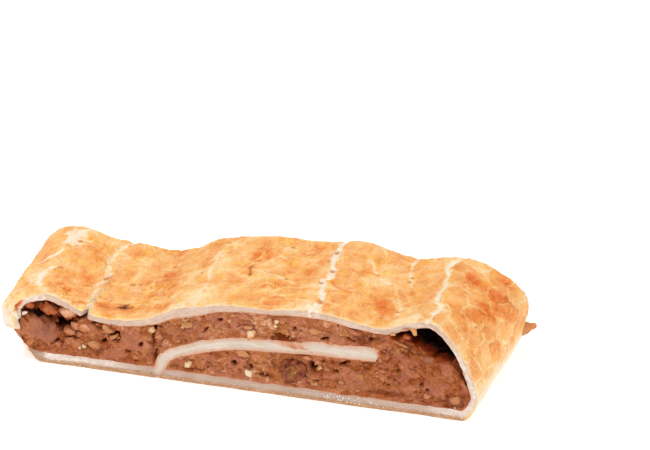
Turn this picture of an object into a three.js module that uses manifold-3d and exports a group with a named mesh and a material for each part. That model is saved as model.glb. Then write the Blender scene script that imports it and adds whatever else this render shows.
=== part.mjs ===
// A slice of nut strudel, cut across the roll: one pastry sheet wound round a nut filling.
// Millimetres, +Z up. The slice lies on its flat base at Z = 0, centred over the origin.
// X runs across the roll, from its left fold to its right fold, and the front cut faces -Y.

import * as THREE from "three";
import { ImprovedNoise } from "three/addons/math/ImprovedNoise.js";
import { mergeVertices } from "three/addons/utils/BufferGeometryUtils.js";
import Module from "manifold-3d";

// The slice
const DEPTH = 47; // from cut to cut
const HALF_WIDTH = 70;
const GAP = 0.45; // between the pastry and the filling

// The sheet's thickness where it baked dry, where it carries the slice and where it stayed moist
const ROOF_THICKNESS = 1.9;
const BASE_THICKNESS = 3.3;
const TONGUE_THICKNESS = 3.4;
const TIP_THICKNESS = 4.2;
const END_THICKNESS = 0.5; // the sheet's other end, pressed thin under the root

// The folds: how wide and high the corners at the base are, and the crests over them. The pulls
// shape the curve from wall to crest: each is a handle's share of the way from one to the other.
const LEFT_CORNER = { width: 10, height: 9 };
const RIGHT_CORNER = { width: 5, height: 8 };
const LEFT_CREST = { x: -58, z: 21.3, wallPull: 0.7, crestPull: 0.65, bulge: 0.4 };
const RIGHT_CREST = { x: 55.4, z: 30.2, wallPull: 0.36, crestPull: 0.42, bulge: -1 };

// Hollows and swells of the roof between the crests, left to right
const ROOF_LINE = [
  [-42, 15.9],
  [-28, 18.4],
  [-15, 24],
  [20, 28],
  [42, 25.8],
];

// The tongue: the sheet's inner end, which rises from its root on the base and lies in the filling
const ROOT_X = -26.2;
const ROOT_BEND = 4.2; // radius of the bend under the root
const ROOT_TURN = THREE.MathUtils.degToRad(65);
const TONGUE_LINE = [
  [41, 15],
  [20, 14.2],
  [-3, 12],
  [-15, 8.8],
  [-20.4, 6.1],
];
const SEAM_X = -20.7; // where the sheet's other end starts to thin

// How the roll changes from the front cut to the back: it swells in the middle by a share of its
// height, and in places it has sagged by another share at the back cut, or risen where that is
// below 0. Its folds bulge outwards at a height of their own, over a share of the depth.
const SWELL = 0.015;
const SAGS = [
  { x: LEFT_CREST.x + 2, share: 0.055, reach: 8 },
  { x: ROOF_LINE[0][0] + 1, share: -0.075, reach: 6 },
  { x: 11, share: 0.06, reach: 7 },
  { x: 36, share: 0.035, reach: 8 },
  { x: RIGHT_CREST.x + 3.5, share: 0.11, reach: 9 },
];
const BULGES = [
  { side: -1, out: 2.4, z: 14, reach: 8, grown: 0.12 },
  { side: 1, out: 4.6, z: 19, reach: 9, grown: 1 },
];
const BULGING = [48, 62]; // how far out a bulge starts, and where it is whole

// Caves left under the crests where the filling sank as it baked, and how uneven they are
const CAVES = [
  { x: LEFT_CREST.x + 0.5, sink: 4.4, reach: 7.5 },
  { x: RIGHT_CREST.x + 2, sink: 7.4, reach: 7 },
];
const SLUMP = { share: 0.5, span: 6 };

// The crust: cracks that run from cut to cut, and the blisters between them
const CRACKS = [-44.5, -17, 22, 50];
const CRACK = { deep: 1.2, reach: 1.6, wander: 2.5, wanderSpan: 12 };
const BLISTER = { rise: 1.1, span: 8.5 };
const PIMPLE = { rise: 0.4, span: 3.4 };

// The cuts: how far they wander from their planes, and the crags of the filling
const CUT_WAVE = { deep: 0.35, span: 11 };
const CRAG = { deep: 1.1, span: 4.5 };

// Damage at the front cut: the left corner is torn back over a share of its arc, and one crack
// has split the roof
const TEAR = { back: 5, from: 0.1, full: [0.4, 0.8], till: 1 };
const SPLIT = { back: 4.5, reach: 1.2 };

// The nut pieces that show at each cut
const NUT = { size: [2.2, 4.4], proud: 0.35, flatness: [1, 0.8, 0.7] };
const NUTS_PER_CUT = 14;
const NUT_SEEDS = { front: 29, back: 11 };

const DEPTH_STEPS = 15;
const FILLING_DEPTH_STEPS = 6;
const FILLING_RISE_STEPS = 7;

// Levels of the noise, one for each kind of unevenness, so that no two look alike
const LEVEL = { crack: 1.5, cut: 5.3, crag: 8.1, slump: 2.5 };

const perlin = new ImprovedNoise();
const { lerp, smoothstep } = THREE.MathUtils;
const spot = (x, z) => new THREE.Vector2(x, z);
const spots = (pairs) => pairs.map(([x, z]) => spot(x, z));
const hump = (distance, reach) => Math.exp(-((distance / reach) ** 2));

// Repeatable draws from 0 to 1, by a linear congruential rule
function drawsFrom(seed) {
  const factor = 1664525;
  const addend = 1013904223;
  let state = seed;
  return () => {
    state = (Math.imul(state, factor) + addend) >>> 0;
    return state / 2 ** 32;
  };
}

// The curve of a fold, between the top of its corner at the wall and its crest
function foldHandles(wall, crest, { wallPull, crestPull, bulge }) {
  const outwards = Math.sign(wall.x);
  const atWall = spot(wall.x + bulge * outwards, lerp(wall.y, crest.y, wallPull));
  const atCrest = spot(lerp(crest.x, wall.x, crestPull), crest.y);
  return { atWall, atCrest };
}

// The sheet's outer line on the front cut, from the tongue's tip, round the roll, to its other end.
// Each leg has its curve, its number of steps, and the thickness and crustiness it ends with.
function sheetLegs() {
  const quarter = Math.PI / 2;
  const rootTop = spot(
    ROOT_X + ROOT_BEND * Math.sin(ROOT_TURN),
    ROOT_BEND * (1 - Math.cos(ROOT_TURN)),
  );
  const leftBase = -HALF_WIDTH + LEFT_CORNER.width;
  const rightBase = HALF_WIDTH - RIGHT_CORNER.width;
  const leftCrest = spot(LEFT_CREST.x, LEFT_CREST.z);
  const rightCrest = spot(RIGHT_CREST.x, RIGHT_CREST.z);
  const leftWall = spot(-HALF_WIDTH, LEFT_CORNER.height);
  const rightWall = spot(HALF_WIDTH, RIGHT_CORNER.height);
  const left = foldHandles(leftWall, leftCrest, LEFT_CREST);
  const right = foldHandles(rightWall, rightCrest, RIGHT_CREST);
  return [
    {
      name: "tongue",
      curve: new THREE.SplineCurve([...spots(TONGUE_LINE), rootTop]),
      steps: 16,
      thick: TONGUE_THICKNESS,
      crust: 0,
    },
    {
      name: "root",
      curve: new THREE.EllipseCurve(
        ROOT_X, ROOT_BEND, ROOT_BEND, ROOT_BEND, ROOT_TURN - quarter, -quarter, true,
      ),
      steps: 4,
      thick: TONGUE_THICKNESS,
      crust: 0,
    },
    {
      name: "leftBase",
      curve: new THREE.LineCurve(spot(ROOT_X, 0), spot(leftBase, 0)),
      steps: 6,
      thick: BASE_THICKNESS,
      crust: 0,
    },
    {
      name: "leftCorner",
      curve: new THREE.EllipseCurve(
        leftBase, LEFT_CORNER.height, LEFT_CORNER.width, LEFT_CORNER.height,
        -quarter, -2 * quarter, true,
      ),
      steps: 6,
      thick: ROOF_THICKNESS,
      crust: 0.4,
    },
    {
      name: "leftFold",
      curve: new THREE.CubicBezierCurve(leftWall, left.atWall, left.atCrest, leftCrest),
      steps: 8,
      thick: ROOF_THICKNESS,
      crust: 1,
    },
    {
      name: "roof",
      curve: new THREE.SplineCurve([leftCrest, ...spots(ROOF_LINE), rightCrest]),
      steps: 50,
      thick: ROOF_THICKNESS,
      crust: 1,
    },
    {
      name: "rightFold",
      curve: new THREE.CubicBezierCurve(rightCrest, right.atCrest, right.atWall, rightWall),
      steps: 11,
      thick: ROOF_THICKNESS,
      crust: 0.7,
    },
    {
      name: "rightCorner",
      curve: new THREE.EllipseCurve(
        rightBase, RIGHT_CORNER.height, RIGHT_CORNER.width, RIGHT_CORNER.height,
        0, -quarter, true,
      ),
      steps: 5,
      thick: BASE_THICKNESS,
      crust: 0,
    },
    {
      name: "rightBase",
      curve: new THREE.LineCurve(spot(rightBase, 0), spot(SEAM_X, 0)),
      steps: 12,
      thick: BASE_THICKNESS,
      crust: 0,
    },
    {
      name: "end",
      curve: new THREE.LineCurve(spot(SEAM_X, 0), spot(SEAM_X - BASE_THICKNESS, 0)),
      steps: 2,
      thick: END_THICKNESS,
      crust: 0,
    },
  ];
}

// Stations along the outer line: the place, the way inwards, and what the sheet is like there
function sheetStations() {
  const stations = [];
  let before = { thick: TIP_THICKNESS, crust: 0 };
  for (const leg of sheetLegs()) {
    for (let step = 0; step <= leg.steps; step++) {
      const share = step / leg.steps;
      const heading = leg.curve.getTangentAt(share);
      const station = {
        leg: leg.name,
        share,
        at: leg.curve.getPointAt(share),
        inwards: spot(heading.y, -heading.x),
        thick: lerp(before.thick, leg.thick, smoothstep(share, 0, 1)),
        crust: lerp(before.crust, leg.crust, share),
      };
      if (step < leg.steps || leg.name === "end") stations.push(station);
    }
    before = leg;
  }
  return stations;
}

// The point a distance inwards from a station's outer line
const inside = (station, distance) =>
  station.at.clone().addScaledVector(station.inwards, distance);

// Where a place on the straight roll lies in the settled one. The front cut stays as it is.
function settled(x, y, z) {
  const back = y / DEPTH + 0.5;
  const swell = SWELL * Math.sin(Math.PI * back);
  const sag = back * SAGS.reduce((sum, { x: at, share, reach }) => sum + share * hump(x - at, reach), 0);
  const bulge = BULGES.reduce((sum, { side, out, z: at, reach, grown }) => {
    const isOut = smoothstep(side * x, ...BULGING);
    return sum + side * out * hump(z - at, reach) * isOut * smoothstep(back, 0, grown);
  }, 0);
  return new THREE.Vector3(x + bulge, y, z * (1 + swell - sag));
}

// How far the crust stands out of the plain sheet: blisters and pimples up, cracks down
function crustRelief(x, y, z) {
  const bumps = ({ rise, span }) => rise * perlin.noise(x / span, y / span, z / span);
  let relief = bumps(BLISTER) + bumps(PIMPLE);
  for (const crack of CRACKS) {
    const wander = perlin.noise(crack, y / CRACK.wanderSpan, LEVEL.crack);
    relief -= CRACK.deep * hump(x - crack - CRACK.wander * wander, CRACK.reach);
  }
  return Math.max(relief, -CRACK.deep);
}

// How far the filling sank away from the roof
const sinkAt = (x) =>
  CAVES.reduce((sum, cave) => sum + cave.sink * hump(x - cave.x, cave.reach), 0);

// How far the front edge of the sheet lies behind the cut
function tornBack({ leg, share, at }) {
  if (leg === "leftCorner") {
    const begun = smoothstep(share, TEAR.from, TEAR.full[0]);
    const ended = smoothstep(share, TEAR.full[1], TEAR.till);
    return TEAR.back * begun * (1 - ended);
  }
  return leg === "roof" ? SPLIT.back * hump(at.x - CRACKS[0], SPLIT.reach) : 0;
}

// Where a cut lies at a place on the section, near the plane of the front or the back
function cutAt(side, x, z) {
  const wave = 1 + perlin.noise(x / CUT_WAVE.span, z / CUT_WAVE.span, LEVEL.cut * side);
  return side * (DEPTH / 2 - CUT_WAVE.deep * wave);
}

// A closed block of cells, bent: place gives the point of each corner, counted along, through and up
function bentBlock(along, through, up, place) {
  const block = new THREE.BoxGeometry(1, 1, 1, along, through, up);
  const corners = block.getAttribute("position");
  for (let i = 0; i < corners.count; i++) {
    const point = place(
      Math.round((corners.getX(i) + 0.5) * along),
      Math.round((corners.getY(i) + 0.5) * through),
      Math.round((corners.getZ(i) + 0.5) * up),
    );
    corners.setXYZ(i, point.x, point.y, point.z);
  }
  return bare(block);
}

// A geometry with nothing but its places, shared between the triangles that meet there
function bare(geometry) {
  geometry.deleteAttribute("normal");
  geometry.deleteAttribute("uv");
  return mergeVertices(geometry);
}

// The pastry: the sheet from cut to cut, with the crust's relief on its outer side
function pastryGeometry(stations) {
  return bentBlock(stations.length - 1, DEPTH_STEPS, 1, (i, j, k) => {
    const station = stations[i];
    const isOuter = k === 1;
    const flat = isOuter ? station.at : inside(station, station.thick);
    const front = cutAt(-1, flat.x, flat.y) + tornBack(station);
    const y = lerp(front, cutAt(1, flat.x, flat.y), j / DEPTH_STEPS);
    const relief = isOuter ? station.crust * crustRelief(flat.x, y, flat.y) : 0;
    const raised = flat.clone().addScaledVector(station.inwards, -relief);
    return settled(raised.x, y, raised.y);
  });
}

// The filling's section is a band that turns round the tongue's tip, in three stretches. Its floor
// runs along the base, over the tongue and back under it, and its ceiling under the roof, down the
// right fold and back along the base.
function fillingBand(stations) {
  const legs = (...names) => stations.filter((station) => names.includes(station.leg));
  const tipX = TONGUE_LINE[0][0];
  const tongue = legs("tongue");
  const tip = tongue[0];
  const roof = legs("leftFold", "roof");
  const rightBase = legs("rightBase");
  const isPastTip = (station) => station.at.x > tipX;
  const isShortOfTip = (station) => !isPastTip(station);
  const onSheet = (station) => inside(station, station.thick + GAP);
  const underSheet = (station) => inside(station, -GAP);
  const underRoof = (station) => inside(station, station.thick + GAP + sinkAt(station.at.x));

  const stretches = [
    {
      steps: 34,
      floor: legs("tongue", "root", "leftBase", "leftCorner").reverse().map(onSheet),
      ceiling: roof.filter(isShortOfTip).map(underRoof),
    },
    {
      steps: 12,
      floor: [
        onSheet(tip),
        inside(tip, tip.thick / 2).add(spot(2 * GAP, 0)),
        underSheet(tip),
      ],
      ceiling: [
        ...roof.filter(isPastTip).map(underRoof),
        ...legs("rightFold").map(underRoof),
        ...legs("rightCorner").map(onSheet),
        ...rightBase.filter(isPastTip).map(onSheet),
      ],
    },
    {
      steps: 18,
      floor: tongue.filter((station) => station.at.x > SEAM_X).map(underSheet),
      ceiling: [...rightBase.filter(isShortOfTip), legs("end")[0]].map(onSheet),
    },
  ];
  const evenly = (line, steps) => new THREE.SplineCurve(line).getSpacedPoints(steps);
  return stretches.flatMap(({ steps, floor, ceiling }, number) => {
    const ceilingPoints = evenly(ceiling, steps);
    const rungs = evenly(floor, steps).map((point, i) => ({ floor: point, ceiling: ceilingPoints[i] }));
    return number > 0 ? rungs.slice(1) : rungs;
  });
}

// The filling: the band from cut to cut, craggy at the cuts and uneven where it sank
function fillingGeometry(band) {
  return bentBlock(band.length - 1, FILLING_DEPTH_STEPS, FILLING_RISE_STEPS, (i, j, k) => {
    const { floor, ceiling } = band[i];
    const up = k / FILLING_RISE_STEPS;
    const flat = floor.clone().lerp(ceiling, up);
    const roughness = Math.abs(perlin.noise(flat.x / CRAG.span, flat.y / CRAG.span, LEVEL.crag));
    const front = cutAt(-1, flat.x, flat.y) + CRAG.deep * roughness;
    const back = cutAt(1, flat.x, flat.y) - CRAG.deep * roughness;
    const y = lerp(front, back, j / FILLING_DEPTH_STEPS);
    const isUnderRoof = ceiling.y > floor.y;
    const unevenness = perlin.noise(flat.x / SLUMP.span, y / SLUMP.span, LEVEL.slump);
    const slump = isUnderRoof ? up * SLUMP.share * sinkAt(flat.x) * unevenness : 0;
    return settled(flat.x, y, flat.y - slump);
  });
}

// Nut pieces at one cut: rough lumps set in the filling, clear of the pastry
function nutGeometries(band, side, seed) {
  const draw = drawsFrom(seed);
  const nuts = [];
  while (nuts.length < NUTS_PER_CUT) {
    const rung = band[Math.floor(draw() * band.length)];
    const size = lerp(...NUT.size, draw());
    const up = draw();
    const room = Math.min(up, 1 - up) * rung.floor.distanceTo(rung.ceiling);
    const turn = new THREE.Euler(draw() * Math.PI, draw() * Math.PI, 0);
    if (room < size / 2 + GAP) continue;
    const flat = rung.floor.clone().lerp(rung.ceiling, up);
    const y = cutAt(side, flat.x, flat.y) + side * size * (NUT.proud - 0.5);
    const nut = bare(new THREE.IcosahedronGeometry(size / 2));
    nut.scale(...NUT.flatness);
    nut.applyMatrix4(new THREE.Matrix4().makeRotationFromEuler(turn));
    nut.translate(...settled(flat.x, y, flat.y));
    nuts.push(nut);
  }
  return nuts;
}

// One solid out of several closed geometries that run into each other
async function fused(geometries) {
  const wasm = await Module();
  wasm.setup();
  const solids = geometries.map((geometry) => {
    const vertProperties = geometry.getAttribute("position").array;
    const triVerts = new Uint32Array(geometry.index.array);
    return new wasm.Manifold(new wasm.Mesh({ numProp: 3, vertProperties, triVerts }));
  });
  const mesh = solids.reduce((whole, solid) => whole.add(solid)).getMesh();
  return new THREE.BufferGeometry()
    .setAttribute("position", new THREE.BufferAttribute(mesh.vertProperties, mesh.numProp))
    .setIndex(new THREE.BufferAttribute(mesh.triVerts, 1));
}

function namedMesh(name, geometry, look) {
  const mesh = new THREE.Mesh(geometry, new THREE.MeshStandardMaterial({ metalness: 0, ...look }));
  mesh.name = name;
  return mesh;
}

const stations = sheetStations();
const band = fillingBand(stations);
const filling = await fused([
  fillingGeometry(band),
  ...nutGeometries(band, -1, NUT_SEEDS.front),
  ...nutGeometries(band, 1, NUT_SEEDS.back),
]);

const strudel = new THREE.Group();
strudel.add(namedMesh("pastry", pastryGeometry(stations), { color: 0xf0b878, roughness: 0.55 }));
strudel.add(namedMesh("filling", filling, { color: 0xb0734f, roughness: 0.8 }));

export default strudel;
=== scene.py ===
import math
import random
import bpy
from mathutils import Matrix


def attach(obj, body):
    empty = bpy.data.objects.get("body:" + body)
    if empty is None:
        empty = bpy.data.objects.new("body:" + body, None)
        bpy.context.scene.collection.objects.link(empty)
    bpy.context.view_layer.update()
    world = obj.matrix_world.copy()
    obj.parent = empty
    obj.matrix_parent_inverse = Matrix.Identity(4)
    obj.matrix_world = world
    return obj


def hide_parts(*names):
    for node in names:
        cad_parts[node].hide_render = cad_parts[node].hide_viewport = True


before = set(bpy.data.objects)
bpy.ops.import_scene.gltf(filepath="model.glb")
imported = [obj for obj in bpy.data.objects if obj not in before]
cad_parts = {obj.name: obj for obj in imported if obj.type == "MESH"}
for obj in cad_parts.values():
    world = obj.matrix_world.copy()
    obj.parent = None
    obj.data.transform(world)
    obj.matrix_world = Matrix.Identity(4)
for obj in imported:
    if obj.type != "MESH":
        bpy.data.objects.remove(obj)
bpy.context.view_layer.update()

from types import SimpleNamespace

import bmesh
import bpy
from mathutils import Euler, Vector, kdtree, noise
from mathutils.geometry import interpolate_bezier

mm = 0.001  # pieces are modelled in millimetres and scaled to metres when they are finished
print("frame loaded:", ", ".join(sorted(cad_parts)))

# the roll's section on the front cut and how it settles towards the back, as the solids have it
roll = {
    "depth": 47.0,
    "halfWidth": 70.0,
    "leftCorner": (10.0, 9.0),  # width and height
    "rightCorner": (5.0, 8.0),
    "leftCrest": (-58.0, 21.3),
    "rightCrest": (55.4, 30.2),
    "leftPulls": (0.7, 0.65, 0.4),  # of the fold's handles: at the wall, at the crest, and its bulge
    "rightPulls": (0.36, 0.42, -1.0),
    "roofSpots": [(-42.0, 15.9), (-28.0, 18.4), (-15.0, 24.0), (20.0, 28.0), (42.0, 25.8)],
    "tongueSpots": [(41.0, 15.0), (20.0, 14.2), (-3.0, 12.0), (-15.0, 8.8), (-20.4, 6.1)],
    "rootX": -26.2,
    "rootBend": 4.2,
    "rootTurn": math.radians(65.0),
    "seamX": -20.7,
    "swell": 0.015,  # share by which it is higher halfway back
    "sags": [  # place, share by which it is lower at the back, reach
        (-56.0, 0.055, 8.0), (-41.0, -0.075, 6.0), (11.0, 0.06, 7.0), (36.0, 0.035, 8.0), (58.9, 0.11, 9.0),
    ],
    "bulges": [  # side, out, height, reach, share of the depth where it is full
        (-1.0, 2.4, 14.0, 8.0, 0.12), (1.0, 4.6, 19.0, 9.0, 1.0),
    ],
    "bulging": (48.0, 62.0),  # distances from the middle between which the bulges grow
    "pinch": (3.0, 9.5, 9.0, 0.1),  # in at the left of the front cut, height, reach, share of depth
    "caves": [(-58.0, 6.4, 8.0), (57.6, 7.8, 7.0)],  # place, sink, reach
    "tear": (8.5, 0.0, 0.55, 0.85, 1.0),  # how far back, and the shares of the left corner where it runs
    "split": (-45.7, 3.6, 0.55),  # place, how far back, reach
    "lifts": [  # place, rise, reach: of the roof's edge at the front cut
        (-53.0, 1.4, 7.0), (-41.0, 1.2, 6.0), (-3.0, 0.5, 8.0), (49.6, 1.2, 3.6),
    ],
    "lifted": (9.0, 15.0),  # heights between which the lifts grow
    "lifting": 0.5,  # share of the depth where they end
}


def smooth(low, high, value):
    share = min(max((value - low) / (high - low), 0.0), 1.0)
    return share * share * (3.0 - 2.0 * share)


def hump(distance, reach):
    return math.exp(-((distance / reach) ** 2))


def mix(first, second, share):
    return first + (second - first) * share


def bumps(place, span, seed=0.0):
    return noise.noise(Vector(place) / span + Vector((seed, 0.31 * seed, 0.0)))


def settled(x, y, z):
    back = y / roll["depth"] + 0.5
    swell = roll["swell"] * math.sin(math.pi * back)
    sag = back * sum(share * hump(x - place, reach) for place, share, reach in roll["sags"])
    out = 0.0
    for side, far, height, reach, grown in roll["bulges"]:
        push = side * far * hump(z - height, reach) * smooth(*roll["bulging"], side * x)
        out += push * smooth(0.0, grown, back)
    far, height, reach, gone = roll["pinch"]
    out += far * hump(z - height, reach) * smooth(*roll["bulging"], -x) * (1.0 - smooth(0.0, gone, back))
    lift = sum(rise * hump(x - place, reach) for place, rise, reach in roll["lifts"])
    lift *= smooth(*roll["lifted"], z) * (1.0 - smooth(0.0, roll["lifting"], back))
    return Vector((x + out, y, z * (1.0 + swell - sag) + lift))


def sinkAt(x):
    return sum(sink * hump(x - place, reach) for place, sink, reach in roll["caves"] + filling["sunken"])


def throughSpots(spots, cuts=40):
    points = [Vector(spot) for spot in spots]
    last = len(points) - 1
    line = []
    for span in range(last):
        before, start, end, after = (points[min(max(span + k, 0), last)] for k in (-1, 0, 1, 2))
        handles = start + (end - before) / 6.0, end - (after - start) / 6.0
        line += interpolate_bezier(start, *handles, end, cuts)[:-1]
    return line + [points[-1]]


def turned(centre, radii, fromAngle, toAngle, cuts=30):
    angles = [mix(fromAngle, toAngle, k / cuts) for k in range(cuts + 1)]
    return [Vector((centre[0] + radii[0] * math.cos(a), centre[1] + radii[1] * math.sin(a))) for a in angles]


def folded(wall, crest, pulls):
    wallPull, crestPull, bulge = pulls
    outwards = math.copysign(1.0, wall[0])
    atWall = Vector((wall[0] + bulge * outwards, mix(wall[1], crest[1], wallPull)))
    atCrest = Vector((mix(crest[0], wall[0], crestPull), crest[1]))
    return interpolate_bezier(Vector(wall), atWall, atCrest, Vector(crest), 80)


# the sheet: thickness in mm, how much crust relief it has and the browned share of its thickness
sheet = {
    "tip": (4.2, 0.0, 0.0),
    "tongue": (3.4, 0.0, 0.0),
    "root": (3.4, 0.0, 0.5),
    "base": (3.3, 0.0, 0.4),
    "rightBase": (3.3, 0.0, 0.38),
    "leftCorner": (1.9, 0.4, 0.5),
    "roof": (1.9, 1.0, 0.0),
    "rightFold": (1.9, 0.7, 0.0),
    "end": (2.6, 0.0, 0.42),
    "crustStep": 0.55,
    "innerStep": 0.9,
    "tipRound": 1.6,
    "frayed": (1.6, 0.35, 1.3),  # the left fold's broken edge: how far back, how often, span
    "tucked": 0.3,  # how far the end goes behind the root
    "uneven": (0.16, 6.0),  # share of the thickness, span
    "thicker": (-17.0, 0.6, 9.0),  # place on the roof, share of the thickness, reach
    "easing": 20,  # passes that round the folds
    "dry": {  # how white the cut is; on the left fold and at the roof's left end this is partly painted light
        "leftBase": 0.85, "leftFold": 0.7, "roof": 0.06,
        "rightFold": 0.8, "rightCorner": 0.7, "rightBase": 0.7,
    },
    "skinDeep": 0.05,  # share of the thickness that stays crust at the cut's edge
    "gap": (0.45, 0.18, 0.4, 0.3, 0.9),  # left fold's edge: place and reach along and through it, depth
    "stained": (0.75, 2.2),  # the tongue's tip: how much, reach
}


def sheetLegs():
    quarter = math.pi / 2.0
    width = roll["halfWidth"]
    bend, turn, rootX, seamX = roll["rootBend"], roll["rootTurn"], roll["rootX"], roll["seamX"]
    leftWide, leftHigh = roll["leftCorner"]
    rightWide, rightHigh = roll["rightCorner"]
    leftBase, rightBase = leftWide - width, width - rightWide
    rootTop = (rootX + bend * math.sin(turn), bend * (1.0 - math.cos(turn)))
    leftFold = folded((-width, leftHigh), roll["leftCrest"], roll["leftPulls"])
    rightFold = folded((width, rightHigh), roll["rightCrest"], roll["rightPulls"])
    roof = throughSpots([roll["leftCrest"], *roll["roofSpots"], roll["rightCrest"]])
    straight = lambda fromX, toX: [Vector((fromX, 0.0)), Vector((toX, 0.0))]
    fine, coarse = sheet["crustStep"], sheet["innerStep"]
    leftCorner = turned((leftBase, leftHigh), (leftWide, leftHigh), -quarter, -math.pi)
    rightCorner = turned((rightBase, rightHigh), (rightWide, rightHigh), 0.0, -quarter)
    return [
        ("tongue", throughSpots([*roll["tongueSpots"], rootTop]), "tongue", coarse),
        ("root", turned((rootX, bend), (bend, bend), turn - quarter, -quarter), "root", coarse),
        ("leftBase", straight(rootX, leftBase), "base", coarse),
        ("leftCorner", leftCorner, "leftCorner", fine),
        ("leftFold", leftFold, "roof", fine),
        ("roof", roof, "roof", fine),
        ("rightFold", rightFold[::-1], "rightFold", fine),
        ("rightCorner", rightCorner, "base", fine),
        ("rightBase", straight(rightBase, seamX), "rightBase", coarse),
        ("end", straight(seamX, seamX - sheet["base"][0]), "end", coarse),
    ]


def evenSpots(line, step):
    walked = [0.0]
    for start, end in zip(line, line[1:]):
        walked.append(walked[-1] + (end - start).length)
    steps = max(2, round(walked[-1] / step))
    spots, span = [], 0
    for k in range(steps + 1):
        target = walked[-1] * k / steps
        while span < len(line) - 2 and walked[span + 1] < target:
            span += 1
        share = (target - walked[span]) / (walked[span + 1] - walked[span])
        spots.append(line[span].lerp(line[span + 1], share))
    return spots


def sheetColumns():
    columns = []
    before = sheet["tip"]
    for leg, line, kind, step in sheetLegs():
        spots = evenSpots(line, step)
        after = sheet[kind]
        for k, spot in enumerate(spots):
            share = k / (len(spots) - 1)
            if k == len(spots) - 1 and leg != "end":
                continue
            thick = mix(before[0], after[0], smooth(0.0, 1.0, share))
            if leg == "roof":
                place, more, reach = sheet["thicker"]
                thick *= 1.0 + more * hump(spot.x - place, reach)
            column = SimpleNamespace(leg=leg, share=share, at=spot, thick=thick)
            column.crust = mix(before[1], after[1], share)
            column.skin = mix(before[2], after[2], share)
            columns.append(column)
        before = after
    for _ in range(sheet["easing"]):
        spots = [column.at for column in columns]
        for k, column in enumerate(columns):
            if column.leg in ("leftFold", "roof", "rightFold"):
                column.at = (spots[k - 1] + 2.0 * spots[k] + spots[k + 1]) / 4.0
    walked = 0.0
    for k, column in enumerate(columns):
        ahead, behind = columns[min(k + 1, len(columns) - 1)].at, columns[max(k - 1, 0)].at
        heading = (ahead - behind).normalized()
        column.inwards = Vector((heading.y, -heading.x))
        walked += (column.at - behind).length
        column.along = walked
    crestAlong = next(column.along for column in columns if column.leg == "roof")
    for column in columns:
        column.along -= crestAlong  # counted from the left crest, so that the roof starts at zero
    return columns


def inside(column, distance):
    return column.at + column.inwards * distance


# the cuts: how far they wander from their planes
cuts = {"deep": 0.35, "span": 11.0, "nick": 0.12, "nickSpan": 1.6}


def cutAt(side, flat):
    wave = 1.0 + bumps((flat.x, flat.y, 0.0), cuts["span"], 5.3 * side)
    nick = bumps((flat.x, flat.y, 0.0), cuts["nickSpan"], 2.7 * side)
    return side * (roll["depth"] / 2.0 - cuts["deep"] * wave - cuts["nick"] * nick)


def tornBack(column):
    if column.leg == "end":
        return sheet["tucked"] * column.share
    back, begin, full, ease, end = roll["tear"]
    if column.leg == "leftCorner":
        ragged = 1.0 + 0.5 * bumps((column.along, 0.0, 0.0), 1.7)
        return back * ragged * smooth(begin, full, column.share) * (1.0 - smooth(ease, end, column.share))
    if column.leg == "leftFold":
        far, often, span = sheet["frayed"]
        frayed = max(0.0, often + bumps((column.along, 0.0, 0.0), span, 4.0))
        return far * frayed * (1.0 - smooth(0.3, 0.5, column.share))
    place, back, reach = roll["split"]
    return back * hump(column.at.x - place, reach) if column.leg == "roof" else 0.0


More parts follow.
